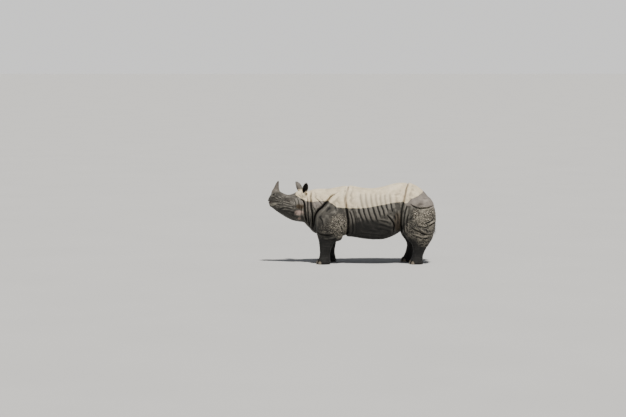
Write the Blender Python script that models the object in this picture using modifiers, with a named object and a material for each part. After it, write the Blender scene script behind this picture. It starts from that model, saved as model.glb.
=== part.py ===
"""A greater one-horned rhinoceros, life size, standing with its head raised.

The animal faces -X and its left side is -Y. The ground is z = 0. The body is modelled whole, as lofts that
are fused and folded into the plates of its hide, and is then parted with thin cuts where the plates meet.
"""

import math
from collections import namedtuple

import bmesh
import bpy
import numpy as np
from mathutils import Vector

# Driving dimensions, in metres.
BODY_LENGTH = 3.42  # from the tip of the upper lip to the back of the thighs
RUMP_HEIGHT = 1.65  # the highest point of the back
LIP_X = -BODY_LENGTH / 2
STANCE = 0.265  # from the middle plane to the middle of a foot
FORE_FOOT_X = -0.56
HIND_FOOT_X = 1.33
RIGHT_FORE_STEP = 0.13  # how far the right forefoot stands behind the left one
RIGHT_HIND_STEP = -0.15  # how far the right hind foot stands ahead of the left one
HORN_LENGTH = 0.21
EAR_LENGTH = 0.235
EYE_RADIUS = 0.027
EYE_PLACE = (-1.277, 0.128, 1.302)
TAIL_LENGTH = 0.66
FORE_REACH = 0.128  # from the middle of a foot to the face of its middle nail
HIND_REACH = 0.124
NAIL_SPREAD = 52  # degrees from the middle nail to the ones beside it
MIDDLE_NAIL = (0.052, 0.085, 0.026)  # half the width, height and half the thickness
SIDE_NAIL = (0.04, 0.068, 0.022)

# How the shape is made.
GAP = 0.0005  # between two solids that touch
VOXEL = 0.012
BODY_TRIANGLES = 4000
HEAD_CARE = 0.03  # how strongly the thinning out spares the head
FADE = 0.16  # the length over which a fold of the hide dies out at its ends
SOLE_DEPTH = 0.03  # the feet are lofted this far below the ground, then cut flat on it
FAR = 4.0  # half the side of a box that cuts a half of space away

# A slice of the trunk or head across X: its roof, its lowest and its widest level, its half width there, and
# how square it is above and below that level (2 is an ellipse).
Slice = namedtuple("Slice", "x top bottom widest half_width roof keel")
# A level slice of a leg: its centre, and its half sizes along and across the body.
Level = namedtuple("Level", "z x y half_length half_width")
# A fold of the hide, as points (x, z) of its groove seen from the side. The lip is the swollen edge that
# overlaps the groove, on the left of the way that the points run.
Fold = namedtuple("Fold", "points width depth lip")

TRUNK = [
    Slice(-1.02, 1.44, 0.90, 1.14, 0.205, 2.2, 2.0),
    Slice(-0.90, 1.468, 0.745, 1.09, 0.245, 2.2, 1.9),
    Slice(-0.79, 1.512, 0.655, 1.05, 0.285, 2.2, 1.9),
    Slice(-0.65, 1.527, 0.615, 1.01, 0.335, 2.1, 2.0),
    Slice(-0.48, 1.527, 0.59, 0.98, 0.375, 2.0, 2.1),
    Slice(-0.30, 1.557, 0.575, 0.98, 0.395, 1.9, 2.2),
    Slice(-0.10, 1.592, 0.555, 0.97, 0.415, 1.9, 2.2),
    Slice(0.06, 1.577, 0.53, 0.96, 0.44, 2.0, 2.2),
    Slice(0.24, 1.541, 0.50, 0.94, 0.475, 2.2, 2.2),
    Slice(0.45, 1.535, 0.482, 0.93, 0.505, 2.3, 2.2),
    Slice(0.66, 1.573, 0.49, 0.94, 0.505, 2.2, 2.2),
    Slice(0.86, 1.630, 0.56, 0.99, 0.475, 2.1, 2.2),
    Slice(1.02, RUMP_HEIGHT, 0.655, 1.05, 0.445, 2.1, 2.2),
    Slice(1.18, 1.645, 0.72, 1.10, 0.43, 2.2, 2.2),
    Slice(1.32, 1.592, 0.75, 1.12, 0.41, 2.3, 2.2),
    Slice(1.44, 1.508, 0.78, 1.12, 0.365, 2.4, 2.2),
    Slice(1.54, 1.402, 0.82, 1.09, 0.30, 2.4, 2.2),
    Slice(1.61, 1.29, 0.87, 1.06, 0.21, 2.2, 2.0),
    Slice(1.645, 1.18, 0.93, 1.05, 0.12, 2.0, 2.0),
]

HEAD = [
    Slice(LIP_X, 1.31, 1.262, 1.285, 0.03, 2.0, 2.0),
    Slice(-1.695, 1.345, 1.215, 1.28, 0.066, 2.0, 2.0),
    Slice(-1.66, 1.395, 1.165, 1.275, 0.092, 2.2, 2.2),
    Slice(-1.61, 1.45, 1.115, 1.27, 0.11, 2.3, 2.2),
    Slice(-1.54, 1.474, 1.06, 1.25, 0.118, 2.3, 2.1),
    Slice(-1.46, 1.462, 1.005, 1.215, 0.121, 2.1, 2.0),
    Slice(-1.38, 1.428, 0.955, 1.17, 0.134, 2.0, 2.0),
    Slice(-1.30, 1.402, 0.91, 1.145, 0.156, 2.0, 2.0),
    Slice(-1.22, 1.416, 0.876, 1.13, 0.178, 2.1, 2.0),
    Slice(-1.14, 1.448, 0.855, 1.12, 0.193, 2.2, 2.0),
    Slice(-1.06, 1.468, 0.843, 1.12, 0.203, 2.2, 2.1),
    Slice(-0.98, 1.466, 0.838, 1.12, 0.212, 2.2, 2.1),
    Slice(-0.90, 1.45, 0.86, 1.12, 0.20, 2.2, 2.1),
]

FORELEG = [
    Level(1.34, 0.27, -0.06, 0.20, 0.09),
    Level(1.20, 0.225, -0.015, 0.29, 0.12),
    Level(1.05, 0.185, 0.02, 0.345, 0.14),
    Level(0.90, 0.165, 0.035, 0.352, 0.145),
    Level(0.76, 0.145, 0.03, 0.335, 0.142),
    Level(0.65, 0.115, 0.02, 0.285, 0.13),
    Level(0.56, 0.08, 0.005, 0.222, 0.118),
    Level(0.46, 0.05, 0.0, 0.166, 0.108),
    Level(0.35, 0.03, 0.0, 0.133, 0.106),
    Level(0.25, 0.02, 0.0, 0.113, 0.1),
    Level(0.16, 0.01, 0.0, 0.112, 0.107),
    Level(0.08, -0.003, 0.002, 0.13, 0.126),
    Level(0.02, -0.01, 0.002, 0.14, 0.134),
    Level(-SOLE_DEPTH, -0.01, 0.002, 0.132, 0.126),
]

HINDLEG = [
    Level(1.32, 0.02, -0.06, 0.24, 0.16),
    Level(1.18, 0.03, -0.045, 0.32, 0.185),
    Level(1.03, 0.033, -0.03, 0.352, 0.185),
    Level(0.88, 0.032, -0.02, 0.358, 0.178),
    Level(0.74, 0.03, -0.012, 0.342, 0.165),
    Level(0.62, 0.035, -0.005, 0.31, 0.15),
    Level(0.52, 0.055, 0.0, 0.262, 0.135),
    Level(0.43, 0.07, 0.0, 0.195, 0.12),
    Level(0.35, 0.06, 0.0, 0.15, 0.108),
    Level(0.25, 0.035, 0.0, 0.122, 0.1),
    Level(0.16, 0.012, 0.0, 0.114, 0.103),
    Level(0.08, -0.003, 0.002, 0.128, 0.12),
    Level(0.02, -0.01, 0.002, 0.138, 0.128),
    Level(-SOLE_DEPTH, -0.01, 0.002, 0.13, 0.12),
]

# Where the body is parted: a point of each plane, and the way towards the part that is named first.
Cut = namedtuple("Cut", "point way")
NECK_FROM_SHOULDERS = Cut((-0.61, 0, 1.12), (-0.87, 0, 0.49))
HEAD_FROM_NECK = Cut((-0.94, 0, 1.05), (-1, 0, 0.12))
SHOULDERS_FROM_BARREL = Cut((-0.1, 0, 1.0), (-1, 0, -0.09))
BARREL_FROM_HIPS = Cut((1.03, 0, 1.0), (-1, 0, 0.13))
SHOULDERS_FROM_FORELEGS = Cut((0, 0, 0.53), (0, 0, 1))
HIPS_FROM_HINDLEGS = Cut((0, 0, 0.56), (0, 0, 1))
LEFT_FROM_RIGHT = Cut((0, 0, 0), (0, -1, 0))
GROUND = Cut((0, 0, 0), (0, 0, 1))

# A muscle or bone that swells the hide: an ellipsoid, on both sides of the body unless it lies at its middle.
Muscle = namedtuple("Muscle", "centre radii pitch")
MUSCLES = {
    "nose_boss": Muscle((-1.545, 0, 1.44), (0.095, 0.088, 0.05), 0),
    "lower_lip": Muscle((-1.63, 0, 1.195), (0.065, 0.07, 0.045), -30),
    "poll": Muscle((-1.04, 0, 1.42), (0.12, 0.13, 0.07), 0),
    "brisket": Muscle((-0.70, 0, 0.70), (0.17, 0.16, 0.10), 20),
    "brow": Muscle((-1.28, 0.11, 1.335), (0.08, 0.045, 0.05), 10),
    "cheekbone": Muscle((-1.16, 0.15, 1.22), (0.12, 0.045, 0.05), 5),
    "jaw_muscle": Muscle((-1.08, 0.135, 1.03), (0.12, 0.08, 0.15), 0),
    "nostril_wing": Muscle((-1.61, 0.075, 1.37), (0.05, 0.042, 0.05), 0),
    "elbow": Muscle((-0.28, 0.3, 0.58), (0.11, 0.085, 0.12), 0),
}

# An ear: the middle of its root, the way it points and the way it opens.
Ear = namedtuple("Ear", "root axis mouth")
EARS = {
    "ear_left": Ear((-0.98, -0.132, 1.435), (0.32, -0.30, 0.90), (-0.45, -0.89, 0)),
    "ear_right": Ear((-1.035, 0.132, 1.445), (-0.32, 0.28, 0.90), (-0.6, 0.8, 0)),
}

FOLDS = {
    "cheek": Fold(
        [(-1.05, 1.32), (-0.99, 1.28), (-0.963, 1.2), (-0.96, 1.07), (-0.94, 0.94), (-0.9, 0.8)],
        width=0.022, depth=0.03, lip=0.01,
    ),
    "nape": Fold(
        [(-0.9, 1.44), (-0.893, 1.3), (-0.887, 1.1), (-0.875, 0.95), (-0.85, 0.72)],
        width=0.018, depth=0.022, lip=0.01,
    ),
    "collar": Fold(
        [(-0.84, 1.5), (-0.838, 1.33), (-0.822, 1.17), (-0.79, 1.04), (-0.79, 0.88), (-0.78, 0.68)],
        width=0.024, depth=0.032, lip=0.012,
    ),
    "shoulder_front": Fold(
        [(-0.3, 1.45), (-0.4, 1.39), (-0.505, 1.27), (-0.605, 1.168), (-0.68, 1.1), (-0.74, 1.0),
         (-0.757, 0.88), (-0.745, 0.76), (-0.71, 0.64)],
        width=0.028, depth=0.034, lip=0.012,
    ),
    "shoulder_hem": Fold(
        [(-0.72, 0.69), (-0.645, 0.63), (-0.52, 0.605), (-0.4, 0.62), (-0.34, 0.68)],
        width=0.022, depth=0.022, lip=0.012,
    ),
    "shoulder_back": Fold(
        [(-0.095, 1.64), (-0.14, 1.46), (-0.137, 1.31), (-0.103, 1.15), (-0.08, 0.98), (-0.062, 0.8),
         (-0.09, 0.66), (-0.14, 0.52)],
        width=0.028, depth=0.032, lip=0.014,
    ),
    "hip": Fold(
        [(1.18, 1.7), (1.107, 1.5), (1.066, 1.33), (1.025, 1.13), (1.004, 0.92), (1.012, 0.76), (1.045, 0.6)],
        width=0.026, depth=0.032, lip=0.012,
    ),
    "rump": Fold(
        [(1.17, 1.25), (1.25, 1.195), (1.363, 1.158), (1.507, 1.158), (1.7, 1.21)],
        width=0.02, depth=0.016, lip=0.008,
    ),
    "thigh": Fold(
        [(1.2, 0.75), (1.34, 0.687), (1.476, 0.625), (1.62, 0.61)],
        width=0.02, depth=0.014, lip=0.008,
    ),
    "flank": Fold(
        [(0.7, 1.04), (0.8, 0.92), (0.86, 0.81), (0.84, 0.62)],
        width=0.026, depth=0.014, lip=0.006,
    ),
}

# A surface: its name, colour and roughness.
Finish = namedtuple("Finish", "name colour roughness")
HIDE = Finish("hide", (0.24, 0.215, 0.19), 0.8)
HORN = Finish("horn", (0.10, 0.09, 0.085), 0.6)
NAIL = Finish("nail", (0.17, 0.15, 0.12), 0.65)
EYE = Finish("eye", (0.03, 0.018, 0.012), 0.1)


def clear_scene():
    for obj in list(bpy.data.objects):
        bpy.data.objects.remove(obj, do_unlink=True)


def new_collection(name, shown):
    made = bpy.data.collections.new(name)
    bpy.context.scene.collection.children.link(made)
    made.hide_render = not shown
    return made


def material(finish):
    """The Principled material of a finish, made once."""
    found = bpy.data.materials.get(finish.name)
    if found:
        return found
    made = bpy.data.materials.new(finish.name)
    made.use_nodes = True
    shader = made.node_tree.nodes["Principled BSDF"]
    shader.inputs["Base Color"].default_value = (*finish.colour, 1.0)
    shader.inputs["Roughness"].default_value = finish.roughness
    shader.inputs["Metallic"].default_value = 0.0
    return made


def add_object(name, mesh, collection):
    made = bpy.data.objects.new(name, mesh)
    collection.objects.link(made)
    return made


def discard(*objects):
    for obj in objects:
        bpy.data.objects.remove(obj, do_unlink=True)


def evaluated_mesh(obj):
    graph = bpy.context.evaluated_depsgraph_get()
    return bpy.data.meshes.new_from_object(obj.evaluated_get(graph), depsgraph=graph)


def bake_modifiers(obj):
    """Replaces the object's mesh with what its modifiers make of it."""
    mesh = evaluated_mesh(obj)
    obj.modifiers.clear()
    obj.data = mesh
    return obj


def catmull(rows, steps):
    """Smooth rows through the given ones, with this many steps between two of them."""
    rows = np.array(rows, float)
    padded = np.vstack([2 * rows[0] - rows[1], rows, 2 * rows[-1] - rows[-2]])
    made = []
    for a, b, c, d in zip(padded, padded[1:], padded[2:], padded[3:]):
        for t in np.arange(steps) / steps:
            linear = (c - a) * t
            square = (2 * a - 5 * b + 4 * c - d) * t**2
            cube = (3 * b - a - 3 * c + d) * t**3
            made.append(0.5 * (2 * b + linear + square + cube))
    made.append(rows[-1])
    return np.array(made)


def signed_power(value, power):
    return math.copysign(abs(value) ** power, value)


def slice_ring(piece, count=48):
    """The closed outline of a slice across X."""
    ring = []
    for k in range(count):
        turn = 2 * math.pi * k / count
        up = math.sin(turn)
        square = 2 / (piece.roof if up > 0 else piece.keel)
        reach = piece.top - piece.widest if up > 0 else piece.widest - piece.bottom
        y = piece.half_width * signed_power(math.cos(turn), square)
        ring.append((piece.x, y, piece.widest + reach * signed_power(up, square)))
    return ring


def level_ring(piece, foot_x, side, count=32, square=2.3):
    """The closed outline of a level slice of a leg that stands at foot_x on one side."""
    ring = []
    for k in range(count):
        turn = 2 * math.pi * k / count
        along = piece.half_length * signed_power(math.cos(turn), 2 / square)
        across = piece.half_width * signed_power(math.sin(turn), 2 / square)
        ring.append((foot_x + piece.x + along, side * (STANCE + piece.y) + across, piece.z))
    return ring


def loft(name, rings, collection):
    """A closed skin through a run of rings that have as many points as each other."""
    work = bmesh.new()
    rows = [[work.verts.new(point) for point in ring] for ring in rings]
    for low, high in zip(rows, rows[1:]):
        for k in range(len(low)):
            after = (k + 1) % len(low)
            work.faces.new((low[k], low[after], high[after], high[k]))
    work.faces.new(rows[0][::-1])
    work.faces.new(rows[-1])
    bmesh.ops.recalc_face_normals(work, faces=work.faces)
    mesh = bpy.data.meshes.new(name)
    work.to_mesh(mesh)
    work.free()
    return add_object(name, mesh, collection)


def ball(name, centre, radii, collection, pitch=0, segments=32):
    """An ellipsoid, pitched by this many degrees about Y."""
    bpy.ops.mesh.primitive_uv_sphere_add(segments=segments, ring_count=segments // 2, radius=1.0)
    made = bpy.context.active_object
    made.name = name
    made.scale = radii
    made.rotation_euler = (0, math.radians(pitch), 0)
    made.location = centre
    bpy.ops.object.transform_apply(location=True, rotation=True, scale=True)
    for owner in list(made.users_collection):
        owner.objects.unlink(made)
    collection.objects.link(made)
    return made


def leg_loft(name, levels, foot_x, step, side, collection):
    """A leg. The hip or shoulder end stays in place, and the foot is moved by the step."""
    moved = []
    for row in catmull(levels, 3):
        level = Level(*row)
        swing = np.clip((0.95 - level.z) / 0.95, 0.0, 1.0)
        moved.append(level._replace(x=level.x + step * swing))
    return loft(name, [level_ring(level, foot_x, side) for level in moved], collection)


def flesh_masses(collection):
    """Every loft and muscle that the body is fused from."""
    made = [
        loft("trunk_mass", [slice_ring(Slice(*row)) for row in catmull(TRUNK, 3)], collection),
        loft("head_mass", [slice_ring(Slice(*row)) for row in catmull(HEAD, 3)], collection),
    ]
    for side, fore_step, hind_step in ((-1, 0.0, 0.0), (1, RIGHT_FORE_STEP, RIGHT_HIND_STEP)):
        made.append(leg_loft("foreleg_mass", FORELEG, FORE_FOOT_X, fore_step, side, collection))
        made.append(leg_loft("hindleg_mass", HINDLEG, HIND_FOOT_X, hind_step, side, collection))
    for name, muscle in MUSCLES.items():
        x, y, z = muscle.centre
        for side in (-1, 1) if y else (1,):
            made.append(ball(name, (x, side * y, z), muscle.radii, collection, muscle.pitch))
    return made


def fuse(name, masses, collection):
    """One smooth skin round all the masses."""
    work = bmesh.new()
    for mass in masses:
        work.from_mesh(mass.data)
    mesh = bpy.data.meshes.new(name)
    work.to_mesh(mesh)
    work.free()
    discard(*masses)
    body = add_object(name, mesh, collection)
    remesh = body.modifiers.new("one_skin", "REMESH")
    remesh.mode = "VOXEL"
    remesh.voxel_size = VOXEL
    smooth = body.modifiers.new("blend", "SMOOTH")
    smooth.factor = 0.5
    smooth.iterations = 24
    return bake_modifiers(body)


def smoothstep(value):
    value = np.clip(value, 0.0, 1.0)
    return value * value * (3 - 2 * value)


def groove_shift(places, fold):
    """How far each place moves along its normal for one fold: in at the groove, out at the lip."""
    line = catmull(fold.points, 8)
    run = np.diff(line, axis=0)
    length = np.linalg.norm(run, axis=1)
    before = np.concatenate([[0.0], np.cumsum(length)[:-1]])
    total = length.sum()
    flat = places[:, [0, 2]]
    nearest = np.full(len(flat), np.inf)
    signed = np.zeros(len(flat))
    along = np.zeros(len(flat))
    for start, way, size, done in zip(line, run, length, before):
        away = flat - start
        share = np.clip(away @ way / size**2, 0.0, 1.0)
        off = away - share[:, None] * way
        gap = np.linalg.norm(off, axis=1)
        closer = gap < nearest
        nearest[closer] = gap[closer]
        turned = way[0] * off[:, 1] - way[1] * off[:, 0]
        signed[closer] = np.where(turned > 0, gap, -gap)[closer]
        along[closer] = (done + share * size)[closer]
    fade = smoothstep(along / FADE) * smoothstep((total - along) / FADE)
    groove = -fold.depth * np.exp(-((signed / fold.width) ** 2))
    swell = np.exp(-(((signed - 2.2 * fold.width) / (1.5 * fold.width)) ** 2))
    return fade * (groove + fold.lip * swell)


def fold_hide(body):
    """Presses the folds between the plates into both sides of the body."""
    mesh = body.data
    places = np.empty(len(mesh.vertices) * 3, np.float32)
    mesh.vertices.foreach_get("co", places)
    places = places.reshape(-1, 3).astype(float)
    normals = np.empty(len(mesh.vertices) * 3, np.float32)
    mesh.vertices.foreach_get("normal", normals)
    normals = normals.reshape(-1, 3).astype(float)
    shift = sum(groove_shift(places, fold) for fold in FOLDS.values())
    places += normals * shift[:, None]
    mesh.vertices.foreach_set("co", places.astype(np.float32).ravel())
    mesh.update()


def thin_out(body):
    """Fewer triangles: most on the head, fewest on the flat of the trunk."""
    bpy.context.view_layer.update()
    group = body.vertex_groups.new(name="plain")
    for vertex in body.data.vertices:
        group.add([vertex.index], 0.5 if vertex.co.x < -0.98 else 1.0, "REPLACE")
    body.data.calc_loop_triangles()
    reduce = body.modifiers.new("fewer", "DECIMATE")
    reduce.ratio = BODY_TRIANGLES / len(body.data.loop_triangles)
    reduce.vertex_group = "plain"
    reduce.vertex_group_factor = HEAD_CARE
    reduce.use_collapse_triangulate = True
    bake_modifiers(body)
    body.vertex_groups.clear()


def inflated(obj, amount, collection):
    """A copy whose surface lies this far outside the object's own."""
    mesh = evaluated_mesh(obj)
    work = bmesh.new()
    work.from_mesh(mesh)
    work.normal_update()
    shifts = [vertex.normal * amount for vertex in work.verts]
    for vertex, shift in zip(work.verts, shifts):
        vertex.co += shift
    work.to_mesh(mesh)
    work.free()
    return add_object(obj.name + "_room", mesh, collection)


def combine(obj, other, operation):
    """A Boolean, made at once, after which the other object is thrown away."""
    cut = obj.modifiers.new("cut", "BOOLEAN")
    cut.operation = operation
    cut.solver = "EXACT"
    cut.object = other
    bake_modifiers(obj)
    discard(other)
    return obj


def half_space(cut, reverse, shift, collection):
    """A big box on one side of a cut, this far from it."""
    way = Vector(cut.way).normalized() * (-1 if reverse else 1)
    bpy.ops.mesh.primitive_cube_add(size=2 * FAR)
    box = bpy.context.active_object
    box.rotation_mode = "QUATERNION"
    box.rotation_quaternion = way.to_track_quat("Z", "Y")
    box.location = Vector(cut.point) + way * (FAR + shift)
    bpy.ops.object.transform_apply(location=True, rotation=True, scale=True)
    for owner in list(box.users_collection):
        owner.objects.unlink(box)
    collection.objects.link(box)
    return box


def part(obj, cut, name, other_name, model, cutters):
    """Parts an object at a plane into (the piece on the side that the cut points to, the other one)."""
    other = add_object(other_name, obj.data.copy(), model)
    obj.name = name
    combine(obj, half_space(cut, False, GAP / 2, cutters), "INTERSECT")
    combine(other, half_space(cut, True, GAP / 2, cutters), "INTERSECT")
    return obj, other


def crescent(radius, opening, wall, count=12):
    """A closed ring in the plane: a round wall with a gap of this many degrees, open towards -Y."""
    half = math.radians(360 - opening) / 2
    turns = [math.pi / 2 + half * (2 * k / (count - 1) - 1) for k in range(count)]
    outer = [(radius * math.cos(t), radius * math.sin(t)) for t in turns]
    inner = [((radius - wall) * math.cos(t), (radius - wall) * math.sin(t)) for t in turns]
    return outer + inner[::-1]


def ear(name, collection):
    """A rolled leaf: a closed tube at its root, open in front, and flat at its rounded tip."""
    place = EARS[name]
    # Share of the length, radius, opening in degrees and wall.
    rows = [
        (-0.14, 0.045, 20, 0.038),
        (0.06, 0.048, 40, 0.03),
        (0.26, 0.055, 110, 0.014),
        (0.5, 0.061, 160, 0.011),
        (0.74, 0.055, 200, 0.01),
        (0.9, 0.039, 225, 0.009),
        (1.0, 0.018, 240, 0.008),
    ]
    root = Vector(place.root)
    axis = Vector(place.axis).normalized()
    mouth = Vector(place.mouth)
    mouth = (mouth - axis * mouth.dot(axis)).normalized()
    across = mouth.cross(axis)
    rings = []
    for share, radius, opening, wall in rows:
        centre = root + axis * EAR_LENGTH * share + mouth * 0.03 * share**2
        rings.append([centre + across * u - mouth * v for u, v in crescent(radius, opening, wall)])
    return loft(name, rings, collection)


def horn(name, collection):
    """A blunt cone on an oval root, bent a little backwards."""
    rows = [
        (-0.18, 0.086, 0.07),
        (0.0, 0.08, 0.064),
        (0.18, 0.064, 0.052),
        (0.42, 0.047, 0.04),
        (0.7, 0.031, 0.028),
        (0.9, 0.018, 0.017),
        (1.0, 0.007, 0.007),
    ]
    rings = []
    for share, half_length, half_width in rows:
        centre = Vector((-1.548 + 0.02 * share + 0.03 * share**2, 0, 1.475 + HORN_LENGTH * share))
        ring = []
        for k in range(16):
            turn = 2 * math.pi * k / 16
            forth = half_length * math.cos(turn)
            ring.append(centre + Vector((forth, half_width * math.sin(turn), -0.08 * forth)))
        rings.append(ring)
    return loft(name, rings, collection)


def tail(name, collection):
    """Hangs in the cleft behind the rump, round at its root and flat at its end."""
    rows = [
        (-0.10, 1.555, 0.05, 0.05),
        (0.0, 1.612, 0.047, 0.045),
        (0.12, 1.652, 0.04, 0.038),
        (0.35, 1.672, 0.032, 0.03),
        (0.6, 1.676, 0.027, 0.024),
        (0.82, 1.674, 0.028, 0.017),
        (0.95, 1.672, 0.024, 0.012),
        (1.0, 1.672, 0.012, 0.007),
    ]
    rings = []
    for share, x, half_length, half_width in catmull(rows, 2):
        z = 1.27 - TAIL_LENGTH * share
        lean = 0.9 * max(0.0, 0.16 - share)
        ring = []
        for k in range(10):
            turn = 2 * math.pi * k / 10
            forth = half_length * math.cos(turn)
            ring.append((x + forth, half_width * math.sin(turn), z + lean * forth))
        rings.append(ring)
    return loft(name, rings, collection)


def toenail(name, foot, heading, size, collection):
    """A rounded hoof-like nail on the rim of a foot, at this heading in degrees from straight ahead."""
    half_width, height, thickness = size
    turn = math.radians(heading)
    out = Vector((-math.cos(turn), math.sin(turn), 0))
    across = Vector((math.sin(turn), math.cos(turn), 0))
    rows = [(-0.25, 1.0, 1.0, 0.0), (0.5, 0.94, 0.95, -0.008), (1.0, 0.5, 0.55, -0.024)]
    rings = []
    for share, width, depth, back in rows:
        centre = foot + out * back + Vector((0, 0, height * share))
        ring = []
        for k in range(10):
            angle = 2 * math.pi * k / 10
            u = half_width * width * signed_power(math.cos(angle), 0.8)
            v = thickness * depth * signed_power(math.sin(angle), 0.8)
            bow = -0.16 * half_width * (u / half_width) ** 2 / 0.5
            ring.append(centre + across * u + out * (v + bow))
        rings.append(ring)
    return loft(name, rings, collection)


def paint(obj, finish):
    obj.data.materials.clear()
    obj.data.materials.append(material(finish))
    obj.data.shade_smooth()
    obj.data.set_sharp_from_angle(angle=math.radians(40))


def give_nails(leg, foot_x, side, reach, model, cutters):
    """Three nails on a foot, each let into the leg."""
    centre = Vector((foot_x - 0.008, side * STANCE, 0))
    for word, place in (("inner", -1), ("middle", 0), ("outer", 1)):
        heading = NAIL_SPREAD * place * side
        turn = math.radians(heading)
        rim = Vector((-math.cos(turn) * reach, math.sin(turn) * 0.92 * reach, 0))
        size = SIDE_NAIL if place else MIDDLE_NAIL
        nail = toenail(f"{leg.name}_nail_{word}", centre + rim, heading, size, model)
        combine(leg, inflated(nail, 2 * GAP, cutters), "DIFFERENCE")
        combine(nail, half_space(GROUND, False, 0, cutters), "INTERSECT")
        paint(nail, NAIL)


def part_body(body, model, cutters):
    """Parts the whole body into its nodes."""
    front, back = part(body, NECK_FROM_SHOULDERS, "front", "back", model, cutters)
    head, neck = part(front, HEAD_FROM_NECK, "head", "neck", model, cutters)
    shoulders, back = part(back, SHOULDERS_FROM_BARREL, "shoulders", "back", model, cutters)
    barrel, hips = part(back, BARREL_FROM_HIPS, "barrel", "hips", model, cutters)
    shoulders, forelegs = part(shoulders, SHOULDERS_FROM_FORELEGS, "shoulders", "forelegs", model, cutters)
    hips, hindlegs = part(hips, HIPS_FROM_HINDLEGS, "hips", "hindlegs", model, cutters)
    fore_left, fore_right = part(forelegs, LEFT_FROM_RIGHT, "foreleg_left", "foreleg_right", model, cutters)
    hind_left, hind_right = part(hindlegs, LEFT_FROM_RIGHT, "hindleg_left", "hindleg_right", model, cutters)
    return head, neck, shoulders, barrel, hips, fore_left, fore_right, hind_left, hind_right


def main():
    clear_scene()
    model = new_collection("rhinoceros", True)
    cutters = new_collection("cutters", False)

    body = fuse("body", flesh_masses(model), model)
    fold_hide(body)
    thin_out(body)
    combine(body, half_space(GROUND, False, 0, cutters), "INTERSECT")
    flesh = part_body(body, model, cutters)
    head, neck, shoulders, barrel, hips, fore_left, fore_right, hind_left, hind_right = flesh

    tail_piece = tail("tail", model)
    combine(hips, inflated(tail_piece, GAP, cutters), "DIFFERENCE")
    paint(tail_piece, HIDE)
    horn_piece = horn("horn", model)
    combine(head, inflated(horn_piece, GAP, cutters), "DIFFERENCE")
    paint(horn_piece, HORN)
    for name in EARS:
        ear_piece = ear(name, model)
        combine(head, inflated(ear_piece, 3 * GAP, cutters), "DIFFERENCE")
        paint(ear_piece, HIDE)
    for side, word in ((-1, "left"), (1, "right")):
        x, y, z = EYE_PLACE
        eye = ball("eye_" + word, (x, side * y, z), (EYE_RADIUS,) * 3, model, segments=14)
        combine(head, inflated(eye, GAP, cutters), "DIFFERENCE")
        paint(eye, EYE)

    give_nails(fore_left, FORE_FOOT_X, -1, FORE_REACH, model, cutters)
    give_nails(fore_right, FORE_FOOT_X + RIGHT_FORE_STEP, 1, FORE_REACH, model, cutters)
    give_nails(hind_left, HIND_FOOT_X, -1, HIND_REACH, model, cutters)
    give_nails(hind_right, HIND_FOOT_X + RIGHT_HIND_STEP, 1, HIND_REACH, model, cutters)
    for piece in flesh:
        paint(piece, HIDE)


main()
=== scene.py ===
"""The looks of a greater one-horned rhinoceros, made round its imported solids.

One skin stands for all the flesh. It starts as a copy of the solids, fused and smoothed, and is then
folded, wrinkled and carved as a sculptor would. The horn, eyes and nails are pieces of their own, and so
are the warts of the hide and the few hairs that the animal has.
"""

import math
from collections import namedtuple

import bmesh
import bpy
import numpy as np
from mathutils import Matrix, Vector


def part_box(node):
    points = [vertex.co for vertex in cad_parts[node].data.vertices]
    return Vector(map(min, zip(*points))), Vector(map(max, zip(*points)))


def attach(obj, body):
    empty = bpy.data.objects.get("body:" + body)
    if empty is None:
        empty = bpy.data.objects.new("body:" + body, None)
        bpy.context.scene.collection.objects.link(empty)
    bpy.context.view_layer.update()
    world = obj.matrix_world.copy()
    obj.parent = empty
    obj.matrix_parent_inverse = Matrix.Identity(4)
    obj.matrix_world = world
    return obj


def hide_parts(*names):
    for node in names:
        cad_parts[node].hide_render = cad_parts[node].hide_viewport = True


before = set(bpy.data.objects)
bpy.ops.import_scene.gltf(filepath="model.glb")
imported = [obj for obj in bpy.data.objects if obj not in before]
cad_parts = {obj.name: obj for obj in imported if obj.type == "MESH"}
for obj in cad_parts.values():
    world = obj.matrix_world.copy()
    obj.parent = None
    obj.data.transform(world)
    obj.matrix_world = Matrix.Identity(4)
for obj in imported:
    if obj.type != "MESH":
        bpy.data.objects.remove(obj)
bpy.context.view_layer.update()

SIDES = {-1: "left", 1: "right"}
FEET = ("foreleg_left", "foreleg_right", "hindleg_left", "hindleg_right")
NAILS = [f"{foot}_nail_{place}" for foot in FEET for place in ("inner", "middle", "outer")]
FLESH = ("head", "neck", "shoulders", "barrel", "hips", *FEET, "tail")

# An ear: its root, the way it points and the way its mouth is turned.
Ear = namedtuple("Ear", "node root axis mouth")
EARS = (
    Ear("ear_left", Vector((-0.98, -0.132, 1.435)), Vector((0.32, -0.30, 0.90)), Vector((-0.45, -0.89, 0))),
    Ear("ear_right", Vector((-1.035, 0.132, 1.445)), Vector((-0.32, 0.28, 0.90)), Vector((-0.6, 0.8, 0))),
)
# Its length, how far its tip bends forwards, how far its edges flare, and how round they are, in radians.
EAR_LENGTH = 0.235
EAR_BEND = 0.03
EAR_FLARE = 0.36
EAR_EDGE = 0.09

# Rings up an ear: share of its length, radius, opening in degrees and wall.
EAR_ROWS = (
    (-0.14, 0.045, 20, 0.038),
    (0.06, 0.048, 40, 0.03),
    (0.26, 0.055, 110, 0.014),
    (0.5, 0.061, 160, 0.011),
    (0.74, 0.055, 200, 0.010),
    (0.88, 0.041, 220, 0.009),
    (0.97, 0.024, 225, 0.0085),
    (1.02, 0.004, 210, 0.0034),
)

# How fine the skin is, in metres and in triangles.
VOXEL = 0.0085
SKIN_TRIANGLES = 194000

# Lumps that fill the sockets of the horn and the ears: how far below their roots, and their radii.
HORN_FILLING = (0.058, (0.095, 0.078, 0.06))
EAR_FILLING = (0.03, (0.06, 0.055, 0.05))


def middle(node):
    low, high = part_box(node)
    return (low + high) / 2


def size_of(node):
    low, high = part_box(node)
    return high - low


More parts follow.
